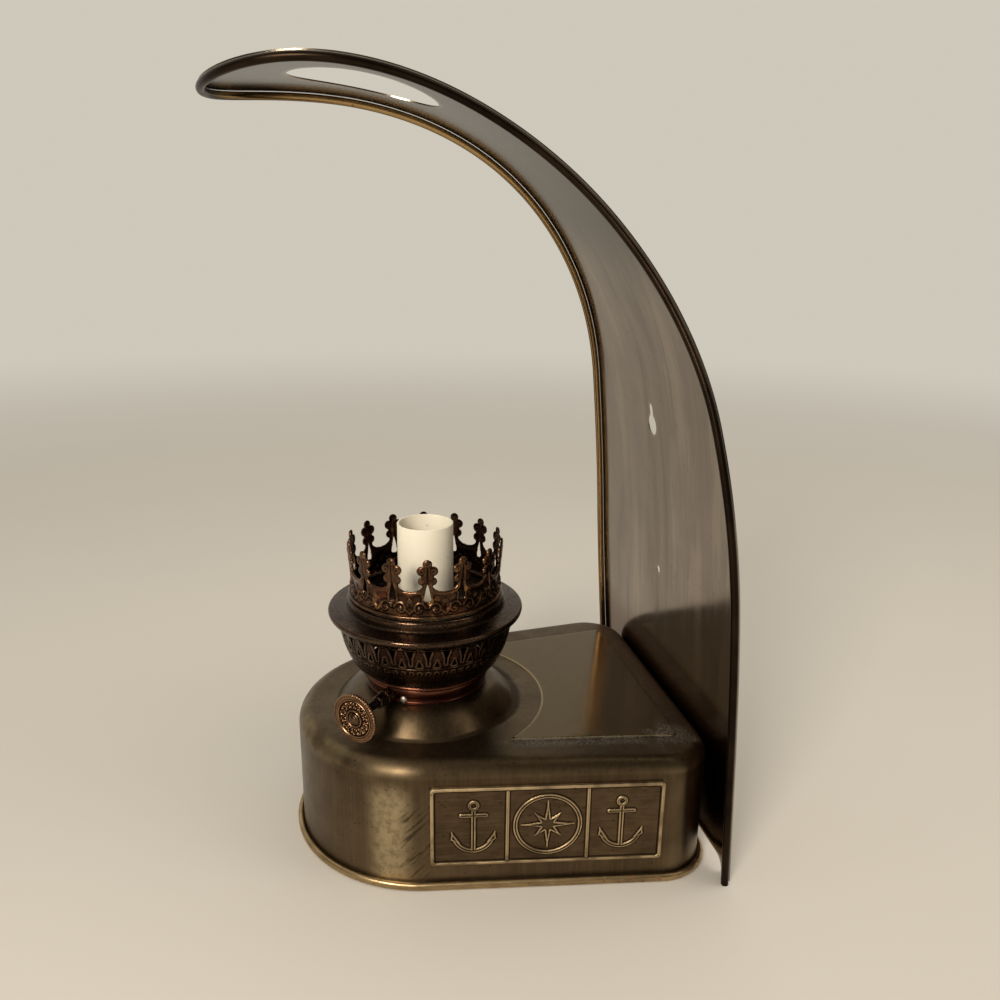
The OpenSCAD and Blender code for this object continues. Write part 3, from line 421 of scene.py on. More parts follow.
def plaque(side):
    """The plaque's height field, laid on the tank's flat side; side is 1 for near and -1 for far."""
    u = np.linspace(-PLAQUE_L / 2 - 0.16, PLAQUE_L / 2 + 0.16, 330)
    v = np.linspace(-PLAQUE_H / 2 - 0.16, PLAQUE_H / 2 + 0.16, 126)

    def lay(x, y, out):
        flat = SIDE_START + (x + SIDE_L / 2)[:, None] * SIDE_ALONG + out[:, None] * SIDE_OUT
        return np.column_stack([side * flat[:, 0], flat[:, 1], PLAQUE_Z + y])

    def face(x, y, deep):
        return lay(x, y, 1.0 + plaque_relief(x, y) - 0.35 * ridge(deep, 0, 0.45))

    def rear(x, y, deep):
        return lay(x, y, np.full(len(x), 0.05))

    return pierced(u, v, lambda x, y: slab(x, y, 0, 0, PLAQUE_L / 2, PLAQUE_H / 2, 1.6), face, rear, 0.35)


# Shapes of the reflector

def along_sheet(s):
    """Place y, z and slope of the sheet's front face at distance s: a leaning line, then three arcs
    that each start where the one before ends."""
    s = np.asarray(s, float)
    y = SHEET_Y - s * math.sin(LEAN)
    z = s * math.cos(LEAN)
    slope = np.full(s.shape, LEAN)
    at, from_y, from_z, turn = STRAIGHT, SHEET_Y - STRAIGHT * math.sin(LEAN), STRAIGHT * math.cos(LEAN), LEAN
    for r, end in zip(BEND_R, BEND_TO):
        on = s >= at
        a = turn + (s - at) / r
        y = np.where(on, from_y + r * (np.cos(a) - math.cos(turn)), y)
        z = np.where(on, from_z + r * (np.sin(a) - math.sin(turn)), z)
        slope = np.where(on, a, slope)
        from_y += r * (math.cos(end) - math.cos(turn))
        from_z += r * (math.sin(end) - math.sin(turn))
        at += r * (end - turn)
        turn = end
    return y, z, slope


SHEET_L = STRAIGHT + sum(r * (b - a) for r, a, b in zip(BEND_R, (LEAN,) + BEND_TO[:2], BEND_TO))


def half_width(s):
    """Half of the sheet's width at s: a smooth cubic between the knots (distance, half-width, slope)."""
    i = np.clip(np.searchsorted(WIDTH_KNOTS[:, 0], s, side="right") - 1, 0, len(WIDTH_KNOTS) - 2)
    a, b = np.moveaxis(WIDTH_KNOTS[i], -1, 0), np.moveaxis(WIDTH_KNOTS[i + 1], -1, 0)
    l = b[0] - a[0]
    t = np.clip((s - a[0]) / l, 0, 1)
    return ((2 * t ** 3 - 3 * t ** 2 + 1) * a[1] + (t ** 3 - 2 * t ** 2 + t) * l * a[2]
            + (3 * t ** 2 - 2 * t ** 3) * b[1] + (t ** 3 - t ** 2) * l * b[2])


def off_sheet(x, s, out):
    """A point beside the sheet: x across, s along, out behind its front face."""
    y, z, slope = along_sheet(s)
    return np.column_stack([x, y + out * np.cos(slope), z + out * np.sin(slope)])


def sheet_edge(x, s):
    """Distance to the sheet's edge: its sides and round tip, the keyhole, the fixing hole, the oval
    in the hood, and the cut-away foot with its cable notch."""
    side = np.where(s < HOOD_AT, np.abs(x) - half_width(s), oval(x, s, 0, HOOD_AT, HOOD_W, SHEET_L - HOOD_AT))
    key = np.minimum(disc(x, s, 0, 194, 5), bar(x, s, (0, 194), (0, 202), 2.25))
    small = disc(x, s, 0, 120, 1.9)
    hood = oval(x, s, 0, 401, 18, 30.5)
    z = s * math.cos(LEAN)
    foot = np.minimum.reduce([slab(x, z, 0, -3, 76, 10, 5), disc(x, z, 0, 12, 9), slab(x, z, 0, 5, 9, 7)])
    return np.maximum.reduce([side, -s, -key, -small, -hood, -foot])


def lines(*stretches):
    """Grid lines over stretches given as (from, to, step), joined end to end."""
    parts = [np.linspace(a, b, max(2, int(round((b - a) / step)) + 1))[:-1] for a, b, step in stretches]
    return np.append(np.concatenate(parts), stretches[-1][1])


def reflector_sheet():
    """The sheet between its front and back faces, with finer grid lines at the openings and ends."""
    half = lines((0, 7, 0.5), (7, 22, 1.5), (22, 90, 2.5))
    u = np.concatenate([-half[:0:-1], half])
    v = lines((-1.2, 22, 1.2), (22, 116, 2.6), (116, 124, 0.5), (124, 187, 2.5), (187, 206, 0.5),
              (206, 366, 2.5), (366, SHEET_L + 1, 1.3))

    def face(x, s, deep):
        return off_sheet(x, s, 0.12 * ridge(deep, 0, 0.3))

    def rear(x, s, deep):
        return off_sheet(x, s, SHEET_T - 0.12 * ridge(deep, 0, 0.3))

    return pierced(u, v, sheet_edge, face, rear, 2.6)


def edge_stations():
    """The sheet's right edge as (half-width, distance), up the side and round the tip."""
    s = np.linspace(0.12, HOOD_AT, 210)
    a = np.radians(np.linspace(0, 90, 60)[1:])
    tip = np.stack([HOOD_W * np.cos(a), HOOD_AT + (SHEET_L - HOOD_AT) * np.sin(a)], 1)
    return np.vstack([np.stack([half_width(s), s], 1), tip])


def rim_bead():
    """A round bead on the front of the sheet's edge, up one side, round the hood and down the other,
    ground off level at its feet."""
    right = edge_stations()
    way = np.vstack([right, right[-2::-1] * [1, 1]])
    way[len(right):, 0] *= -1
    path = off_sheet(way[:, 0], way[:, 1], -BEAD_R - 0.05)
    slope = along_sheet(way[:, 1])[2]
    side = np.stack([np.zeros(len(slope)), np.cos(slope), np.sin(slope)], 1)
    points, faces = tube(path, side, BEAD_R)
    points[:, 2] = np.maximum(points[:, 2], 0)
    return points, faces


# Shapes of the burner

def burner_neck():
    """The neck's wall: a turned foot with a small lip, a flare as a soft S, and an upright rim; inside,
    the screwed skirt with its lip for the bridge."""
    t = np.linspace(0, 1, 14)
    flare = np.stack([28.55 + 1.45 * (t - np.sin(TURN * t) / TURN), 1.75 + 4.9 * t], 1)
    outer = [(20.3, 0), (28.1, 0), (28.4, 0.3), (28.45, 0.9), (28.8, 1.05), (28.85, 1.35), (28.6, 1.6)]
    outer += flare.tolist() + [(30, 7.7), (29.75, 8), (29.2, 8)]
    inner = [(29.2, 6.8), (27.6, 1.2), (27.6, 0.8), (19.5, 0.8), (19.5, -7.2), (17.5, -7.2), (17.5, -8), (20.3, -8)]
    points, faces = lathe(closed(outer + inner))
    points[:, 2] += NECK_Z
    return points, faces


def round_ring(r, z, thick, squash=1.0):
    """A ring of round section about the burner's axis."""
    a = np.arange(20) / 20 * TURN
    return lathe(closed(np.stack([r + thick * np.cos(a), z + squash * thick * np.sin(a)], 1)))


def bowl(z):
    """The basket's outer radius at height z over its foot: it grows as the 0.42th power of the height."""
    return BASKET_FOOT_R + (BASKET_R - BASKET_FOOT_R) * np.clip(z / BASKET_H, 0, 1) ** 0.42


def basket_openings(u, z):
    """Distance to the pierced openings: a small triangle in each frame, a Y-shaped wedge between
    two frames, and a dot below each of both."""
    pitch = TURN * BASKET_R / FRAMES
    low, high = 0.6 * BASKET_H, 0.96 * BASKET_H
    tall = high - low
    x = (u + pitch / 2) % pitch - pitch / 2
    w = u % pitch - pitch / 2
    tri = patch(x, z, [(-0.15 * pitch, low), (0.15 * pitch, low), (0, low + 0.4 * tall)])
    wedge = patch(w, z, [(-0.04 * pitch, low + 0.1 * tall), (0.04 * pitch, low + 0.1 * tall),
                         (0.06 * pitch, low + 0.5 * tall), (0.22 * pitch, high), (-0.22 * pitch, high),
                         (-0.06 * pitch, low + 0.5 * tall)])
    half = (u + pitch / 4) % (pitch / 2) - pitch / 4
    dot = disc(half, z, 0, 0.43 * BASKET_H, 0.62)
    return np.minimum.reduce([tri, wedge, dot])


def basket():
    """The basket's band of frames: a bowl-shaped sheet, raised in ribs beside its openings."""
    pitch = TURN * BASKET_R
    u = np.arange(FRAMES * 20) / (FRAMES * 20) * pitch
    v = np.append(BASKET_H * np.linspace(0, 0.66, 14) ** 2.38, lines((9.0, 22.6, 0.4), (22.6, BASKET_H, 0.3)))

    def place(u, r, z):
        a = u / BASKET_R - math.pi / 2
        return np.column_stack([r * np.cos(a), r * np.sin(a), BASKET_Z + z])

    def face(x, z, deep):
        cut = -basket_openings(x, z)
        rib = 0.34 * ridge(-cut, 0.45, 0.5) * ease(8.6, 9.6, z)
        hoops = 0.4 * ridge(z, 12.6, 0.35) + 0.45 * ridge(z, 22.8, 0.35) + 0.3 * ridge(z, 7.4, 0.4)
        return place(x, bowl(z) - 0.1 + rib + hoops, z)

    def rear(x, z, deep):
        return place(x, bowl(z) - 0.8, z + 0.8 * (1 - z / BASKET_H))

    return pierced(u, v, lambda x, z: -basket_openings(x, z), face, rear, 0.42, pitch)


def flange():
    """The wide flange: a rolled rim, a sloping top and an upright collar that carries the crown."""
    line = [(39.5, 0), (41.8, 0), (42.8, 0.7), (44.9, 1.7), (45.7, 2.9), (45.8, 4.2), (45.2, 4.9), (44.2, 4.9),
            (43.6, 5.0), (37.7, 5.6), (37.0, 6.1), (37.0, 8.6), (36.8, 9.8), (36.0, 10.5), (34.2, 10.5), (33.6, 9.9),
            (33.6, 5.1), (36.6, 4.7), (44.2, 4.1), (44.9, 3.8), (44.8, 3.0), (44.0, 2.5), (41.9, 1.6), (39.5, 0.9)]
    reach = [0.3, 0.6, 0.8, 0.8, 0.7, 0.6, 0.5, 0.5, 0.5, 0.8, 0.6, 1.2, 0.6, 0.5, 0.5, 0.4,
             0.4, 1, 0.4, 0.4, 0.4, 0.4, 0.6, 0.3]
    points, faces = lathe(closed(soften(line, reach, 5)))
    points[:, 2] += FLANGE_Z
    return points, faces


def deck():
    """The round plate inside the flange, slightly dished, with a raised lip round the candle."""
    line = [(13.4, 0.9), (13.4, 2.0), (14.3, 2.0), (14.8, 1.0), (22, 0.8), (31.5, 0.9), (33.2, 1.4), (33.35, 0.1),
            (31, 0), (14, 0)]
    points, faces = lathe(closed(soften(line, 0.5, 3)), 128)
    points[:, 2] += 112.5
    return points, faces


CROWN_PITCH = TURN * CROWN_R / FINIALS


def crown_edge(u, z):
    """Distance to the crown's edge: under each finial's round tip two pairs of lobes and a leaf that
    spreads into the unbroken band, with one tall drop-shaped opening in its foot."""
    x = (u + CROWN_PITCH / 2) % CROWN_PITCH - CROWN_PITCH / 2
    m = np.abs(x)
    top = CROWN_H
    half = CROWN_PITCH / 2
    leaf = patch(m, z, [(-0.5, top - 2), (1.6, top - 3), (2.85, top - 8), (2.4, top - 12.8), (3.5, 14.2),
                        (5.2, 13.3), (half + 0.4, 12.8), (half + 0.4, 11), (-0.5, 11)])
    metal = np.minimum.reduce([
        disc(m, z, 0, top - 2.05, 2.05),
        disc(m, z, 2.45, top - 5.2, 2.2),
        disc(m, z, 2.3, top - 9.9, 1.9),
        leaf, slab(u * 0, z, 0, 6, 1, 6.8)])
    drop = patch(m, z, [(-0.5, 17.4), (0, 17.2), (0.9, 13.6), (1.7, 9.7), (1.5, 8.8), (0.8, 8.4), (-0.5, 8.4)])
    return np.maximum.reduce([metal, -drop, -z])


def crown_relief(u, z):
    """Height of the crown's pressed figures: on its band two curled scrolls under each finial and a
    seed between them, on its finials a rib down the middle of each lobe."""
    m = np.abs((u + CROWN_PITCH / 2) % CROWN_PITCH - CROWN_PITCH / 2)
    half = CROWN_PITCH / 2
    dx, dz = m - 3.7, z - 5.2
    turn = np.arctan2(dz, dx)
    scroll = 2.1 + 0.32 * turn
    curl = 0.5 * ridge(np.hypot(dx, dz), scroll, 0.5) + 0.4 * ridge(np.hypot(dx, dz), 0.3, 0.7)
    stem = 0.5 * ridge(bar(m, z, (2.1, 7.6), (1.5, 12.5), 0.1), 0, 0.55)
    seed = 0.45 * ridge(disc(m, z, half, 8.8, 0.5), 0, 0.8)
    bridge = 0.4 * ridge(bar(m, z, (5.6, 5.4), (half, 3.0), 0.1), 0, 0.6)
    pit = -0.35 * ridge(disc(m, z, half, 5.9, 0.2), 0, 0.9) - 0.3 * ridge(disc(m, z, 0, 4.6, 0.2), 0, 1.1)
    return (np.maximum.reduce([curl, stem, seed, bridge]) + pit) * ease(12.6, 11.4, z) * ease(1.6, 2.4, z)


def crown():
    """The crown's wall, rolled round: pillow-shaped lobes and ribs pressed out of a thin sheet."""
    columns = FINIALS * 44
    u = np.arange(columns) / columns * TURN * CROWN_R
    v = np.linspace(-0.3, CROWN_H + 0.3, 82)

    def place(u, r, z):
        a = u / CROWN_R + CROWN_TURN
        flare = 1.1 * ease(9, CROWN_H, z) - 0.4 * ridge(z, 9.5, 3)
        r = r + flare
        return np.column_stack([r * np.cos(a), r * np.sin(a), CROWN_Z + z])

    def swell(x, z, deep):
        pillow = 0.62 * np.sqrt(np.clip(deep / 1.5, 0, 1)) - 0.25 * ease(1.3, 2.3, deep) * ease(12, 14, z)
        return pillow * (1 - 0.45 * ease(12.5, 10.5, z)) + crown_relief(x, z)

    def face(x, z, deep):
        return place(x, CROWN_R - 0.75 + swell(x, z, deep), z)

    def rear(x, z, deep):
        return place(x, CROWN_R - 1.25 + 0.8 * swell(x, z, deep), z)

    return pierced(u, v, crown_edge, face, rear, 0.45, TURN * CROWN_R)


def candle_sleeve():
    """The candle tube: a thin card tube with soft rims."""
    line = [(13, 0), (13, 64), (12, 64), (12, 0)]
    points, faces = lathe(closed(soften(line, 0.3, 4)), 160)
    points[:, 2] += SLEEVE_Z
    return points, faces


# Shapes of the winder

def on_winder(points):
    """Turns points so that +Z runs out along the winder's shaft from the burner's axis."""
    out = np.array([math.cos(WINDER_DIR), math.sin(WINDER_DIR), 0])
    side = np.array([-math.sin(WINDER_DIR), math.cos(WINDER_DIR), 0])
    x, y, z = points.T
    return np.outer(z, out) + np.outer(y, side) + np.outer(-x, [0, 0, 1]) + [0, 0, SHAFT_Z]


def shaft_bush():
    """The bush in the neck with its gland nut: turned steps with a ribbed grip."""
    line = [(1.98, 26.9), (2.9, 26.9), (2.9, 30.3), (3.6, 30.3), (3.6, 34.3), (2.9, 34.3), (2.9, 39.0), (2.5, 39.3),
            (1.98, 39.3)]
    points, faces = lathe(closed(soften(line, 0.25, 3)), 96)
    r = np.hypot(points[:, 0], points[:, 1])
    a = np.arctan2(points[:, 1], points[:, 0])
    grip = 1 - 0.035 * (0.5 + 0.5 * np.cos(16 * a)) * (r > 3.3)
    points[:, :2] *= grip[:, None]
    return on_winder(points), faces


def winder_shaft():
    """The shaft: a plain rod with a collar before the knob and a rounded end."""
    line = [(0, 17), (1.9, 17), (1.9, 50.6), (2.9, 50.9), (2.9, 52.6), (1.9, 53), (1.9, 56.2), (1.3, 56.6), (0, 56.7)]
    points, faces = lathe(line, 64)
    return on_winder(points), faces


def knob_height(r, a):
    """The knob's face: a milled flat rim, a raised ring, a waving wreath with small leaves, and a hub."""
    rim = 0.5 * ease(9.1, 9.5, r)
    mill = -0.16 * (0.5 + 0.5 * np.cos(56 * a)) * ease(10.0, 10.5, r)
    edge_ring = 0.75 * ridge(r, 8.75, 0.42)
    wave = 6.45 + 0.95 * np.cos(14 * a)
    wreath = 0.62 * ridge(r, wave, 0.42)
    leaf_turn = (a * 14 / TURN) % 1 - 0.5
    leaf = 0.5 * ridge(r, 7.2, 0.5) * ridge(leaf_turn, 0, 0.14)
    seed_turn = (a * 14 / TURN + 0.5) % 1 - 0.5
    seed = 0.45 * ridge(r, 5.3, 0.4) * ridge(seed_turn, 0, 0.13)
    hub = 0.8 * ridge(r, 3.75, 0.4)
    return 1.45 + rim + mill + edge_ring + np.maximum.reduce([wreath, leaf, seed]) + hub


def winder_knob():
    """The knob: its face over a fine grid of radius and angle, a milled edge and a plain back."""
    a = np.arange(504) / 504 * TURN
    r = np.append(np.linspace(0, 10.9, 62), [11.15, 11.35])[:, None] + 0 * a
    z = knob_height(r, a)
    z[-2] -= 0.12
    z[-1] -= 0.4
    mill = 0.16 * (0.5 + 0.5 * np.cos(56 * a))
    r[-1] -= mill
    rings = [(r[i], z[i]) for i in range(len(r))]
    rings += [(11.4 - mill, 0 * a + h) for h in (1.3, 0.9, 0.45)]
    rings += [(11.1 - mill, 0 * a + 0.1), (10.6 + 0 * a, 0 * a), (3.5 + 0 * a, 0 * a), (0 * a, 0 * a)]
    points = np.concatenate([np.column_stack([rr * np.cos(a), rr * np.sin(a), zz + KNOB_AT]) for rr, zz in rings])
    return on_winder(points), quads(len(rings), len(a))


def knob_washer():
    """The riveted washer in the knob's hub, with a dished middle."""
    line = [(0, 2.2), (0.9, 2.25), (1.5, 2.5), (2.2, 2.45), (2.65, 2.1), (2.65, 1.4), (0, 1.4)]
    points, faces = lathe(line, 64)
    points[:, 2] += KNOB_AT
    return on_winder(points), faces


def rivet():
    """The neck's rivet with its domed head."""
    t = np.radians(np.linspace(0, 90, 8))
    line = [(0, 26), (1.6, 26), (1.6, 27), (0.95, 27), (0.95, 29.0), (1.75, 29.0)]
    line += np.stack([1.75 * np.cos(t), 29.1 + 1.05 * np.sin(t)], 1).tolist()
    points, faces = lathe(line, 40)
    turn = WINDER_DIR + math.radians(13.5)
    x, y, z = points.T
    out = np.array([math.cos(turn), math.sin(turn), 0])
    side = np.array([-math.sin(turn), math.cos(turn), 0])
    return np.outer(z, out) + np.outer(y, side) + np.outer(-x, [0, 0, 1]) + [0, 0, NECK_Z + 2.7], faces


# Shader node groups

def node(tree, kind, inputs=None, **settings):
    """Adds a node, sets its settings, and links or sets each of its inputs."""
    made = tree.nodes.new(kind)
    for key, value in settings.items():
        setattr(made, key, value)
    for key, value in (inputs or {}).items():
        if isinstance(value, bpy.types.NodeSocket):
            tree.links.new(value, made.inputs[key])
        else:
            made.inputs[key].default_value = value
    return made


def group(name, inputs, outputs):
    """An empty shader node group with named sockets, given as {name: (type, default)} and {name: type}."""
    tree = bpy.data.node_groups.new(name, "ShaderNodeTree")
    for key, (kind, default) in inputs.items():
        socket = tree.interface.new_socket(key, in_out="INPUT", socket_type=kind)
        socket.default_value = default
    for key, kind in outputs.items():
        tree.interface.new_socket(key, in_out="OUTPUT", socket_type=kind)
    return tree, tree.nodes.new("NodeGroupInput").outputs, tree.nodes.new("NodeGroupOutput").inputs


def math_node(tree, operation, a, b=0.0, clamp=False):
    return node(tree, "ShaderNodeMath", {0: a, 1: b}, operation=operation, use_clamp=clamp).outputs[0]


def span(tree, value, low, high, to_low=0.0, to_high=1.0):
    """Maps value from low..high to to_low..to_high with a soft step and no overshoot."""
    return node(tree, "ShaderNodeMapRange", {
        "Value": value, "From Min": low, "From Max": high, "To Min": to_low, "To Max": to_high},
        interpolation_type="SMOOTHSTEP").outputs["Result"]


def blend(tree, share, a, b):
    """Colour a where share is 0 and colour b where it is 1."""
    return node(tree, "ShaderNodeMix", {0: share, 6: a, 7: b}, data_type="RGBA").outputs[2]


def spot_noise(tree, vector, scale, detail=3.0, rough=0.55, warp=0.0):
    return node(tree, "ShaderNodeTexNoise", {
        "Vector": vector, "Scale": scale, "Detail": detail, "Roughness": rough, "Distortion": warp},
        noise_dimensions="3D").outputs["Fac"]


def make_groups():
    """The effects that several finishes share: clouded patina, brush lines, edge wear, and fine specks."""
    number, vector = "NodeSocketFloat", "NodeSocketVector"
    clouds, given, out = group("clouded patina", {
        "Vector": (vector, (0, 0, 0)), "Scale": (number, 30.0), "Contrast": (number, 0.5)}, {"Mask": number})
    wide = spot_noise(clouds, given["Vector"], given["Scale"], 4.0, 0.6, 0.6)
    fine = spot_noise(clouds, given["Vector"], math_node(clouds, "MULTIPLY", given["Scale"], 4.3), 3.0)
    both = math_node(clouds, "ADD", math_node(clouds, "MULTIPLY", wide, 0.7), math_node(clouds, "MULTIPLY", fine, 0.3))
    away = math_node(clouds, "SUBTRACT", both, 0.5)
    gain = math_node(clouds, "MULTIPLY", given["Contrast"], 6.0)
    mask = math_node(clouds, "ADD", math_node(clouds, "MULTIPLY", away, gain), 0.5, clamp=True)
    clouds.links.new(mask, out["Mask"])

    brush, given, out = group("brush lines", {
        "Vector": (vector, (0, 0, 0)), "Lines": (vector, (900.0, 900.0, 14.0))}, {"Lines": number})
    stretched = node(brush, "ShaderNodeVectorMath", {0: given["Vector"], 1: given["Lines"]}, operation="MULTIPLY")
    thin = spot_noise(brush, stretched.outputs[0], 1.0, 2.0)
    thick = spot_noise(brush, stretched.outputs[0], 0.27, 2.0)
    brush.links.new(math_node(brush, "ADD", math_node(brush, "MULTIPLY", thin, 0.6),
                              math_node(brush, "MULTIPLY", thick, 0.4)), out["Lines"])

    wear, given, out = group("edge wear", {
        "Vector": (vector, (0, 0, 0)), "Patch Scale": (number, 60.0)}, {"Worn": number, "Grime": number})
    edge = node(wear, "ShaderNodeAttribute", attribute_name="edge", attribute_type="GEOMETRY").outputs["Fac"]
    cover = spot_noise(wear, given["Vector"], given["Patch Scale"], 3.0)
    worn = math_node(wear, "MULTIPLY", span(wear, edge, 0.53, 0.72), span(wear, cover, 0.3, 0.6, 0.35, 1.0))
    there = span(wear, edge, 0.0, 0.05)
    grime = math_node(wear, "MULTIPLY", span(wear, edge, 0.48, 0.3), there)
    wear.links.new(worn, out["Worn"])
    wear.links.new(grime, out["Grime"])

    specks, given, out = group("fine specks", {
        "Vector": (vector, (0, 0, 0)), "Scale": (number, 700.0), "Share": (number, 0.2)}, {"Specks": number})
    grain = node(specks, "ShaderNodeTexVoronoi", {
        "Vector": given["Vector"], "Scale": given["Scale"]}, feature="F1").outputs
    chance = node(specks, "ShaderNodeSeparateColor", {"Color": grain["Color"]}).outputs[0]
    chosen = math_node(specks, "LESS_THAN", chance, given["Share"])
    near = span(specks, grain["Distance"], 0.42, 0.16)
    specks.links.new(math_node(specks, "MULTIPLY", chosen, near), out["Specks"])
    return {"clouds": clouds, "brush": brush, "wear": wear, "specks": specks}


GROUPS = make_groups()


def use(tree, name, inputs):
    """Places one of the shared groups in a material."""
    made = node(tree, "ShaderNodeGroup", node_tree=GROUPS[name])
    for key, value in inputs.items():
        if isinstance(value, bpy.types.NodeSocket):
            tree.links.new(value, made.inputs[key])
        else:
            made.inputs[key].default_value = value
    return made.outputs


def start(name):
    """A new material with its node tree, its shader and the object's coordinates."""
    made = bpy.data.materials.new(name)
    made.use_nodes = True
    tree = made.node_tree
    shader = tree.nodes["Principled BSDF"]
    place = tree.nodes.new("ShaderNodeTexCoord").outputs["Object"]
    return made, tree, shader, place


def rgb(r, g, b):
    return (r, g, b, 1.0)


def bump(tree, shader, height, strength, distance):
    """Feeds a height into the shader's normal."""
    made = node(tree, "ShaderNodeBump", {"Height": height, "Strength": strength, "Distance": distance})
    tree.links.new(made.outputs["Normal"], shader.inputs["Normal"])


def round_way(tree, place):
    """The level direction round the upright axis, in which the sheet was turned and brushed."""
    x, y, z = axis_of(tree, place)
    level_way = node(tree, "ShaderNodeCombineXYZ", {0: math_node(tree, "MULTIPLY", y, -1.0), 1: x}).outputs[0]
    return node(tree, "ShaderNodeVectorTransform", {0: level_way}, vector_type="VECTOR", convert_from="OBJECT",
                convert_to="WORLD").outputs[0]


def metal(name, dark, middle, bright, rough=(0.28, 0.46), scale=32.0, contrast=0.5, lines=(700.0, 700.0, 20.0),
          line_depth=0.1, wear=0.8, grime=0.8, speck=0.1, extra=None, uneven=0.25, streak=0.22, turned=0.0):
    """Old metal: clouds of dark and middle tone, bright worn ridges, dark grooves, specks and brush lines."""
    made, tree, shader, place = start(name)
    mask = use(tree, "clouds", {"Vector": place, "Scale": scale, "Contrast": contrast})["Mask"]
    colour = blend(tree, mask, rgb(*dark), rgb(*middle))
    line = use(tree, "brush", {"Vector": place, "Lines": lines})["Lines"]
    worn = use(tree, "wear", {"Vector": place, "Patch Scale": scale * 2})
    dots = use(tree, "specks", {"Vector": place, "Scale": 620.0, "Share": speck})["Specks"]
    colour = blend(tree, math_node(tree, "MULTIPLY", span(tree, line, 0.35, 0.7), streak), colour, rgb(*bright))
    roughness = span(tree, mask, 0.0, 1.0, rough[1], rough[0])
    if extra:
        colour, roughness = extra(tree, place, colour, roughness)
    colour = blend(tree, math_node(tree, "MULTIPLY", worn["Worn"], wear), colour, rgb(*bright))
    shade = [c * 0.22 for c in dark]
    colour = blend(tree, math_node(tree, "MULTIPLY", worn["Grime"], grime), colour, rgb(*shade))
    colour = blend(tree, math_node(tree, "MULTIPLY", dots, 0.55), colour, rgb(*shade))
    roughness = math_node(tree, "ADD", roughness, math_node(tree, "MULTIPLY", worn["Grime"], 0.3), clamp=True)
    roughness = math_node(tree, "ADD", roughness, math_node(tree, "MULTIPLY", line, 0.08))
    tree.links.new(colour, shader.inputs["Base Color"])
    tree.links.new(roughness, shader.inputs["Roughness"])
    shader.inputs["Metallic"].default_value = 1.0
    if turned:
        shader.inputs["Anisotropic"].default_value = turned
        shader.inputs["Anisotropic Rotation"].default_value = 0.25
        tree.links.new(round_way(tree, place), shader.inputs["Tangent"])
    swell = spot_noise(tree, place, scale * 1.7, 2.0)
    height = math_node(tree, "ADD", math_node(tree, "MULTIPLY", line, line_depth),
                       math_node(tree, "MULTIPLY", swell, uneven))
    height = math_node(tree, "SUBTRACT", height, math_node(tree, "MULTIPLY", dots, 0.1))
    bump(tree, shader, height, 0.35, 0.0005)
    return made


def paint_over(tree, mask, amount, colour, top, roughness=None, rough=0.6):
    """Lays a colour over the metal where a mask says, and roughens it there."""
    share = math_node(tree, "MULTIPLY", mask, amount)
    colour = blend(tree, share, colour, rgb(*top))
    if roughness is None:
        return colour, None
    mixed = node(tree, "ShaderNodeMix", {0: share, 2: roughness, 3: rough}, data_type="FLOAT").outputs[0]
    return colour, mixed


def axis_of(tree, place):
    return node(tree, "ShaderNodeSeparateXYZ", {0: place}).outputs


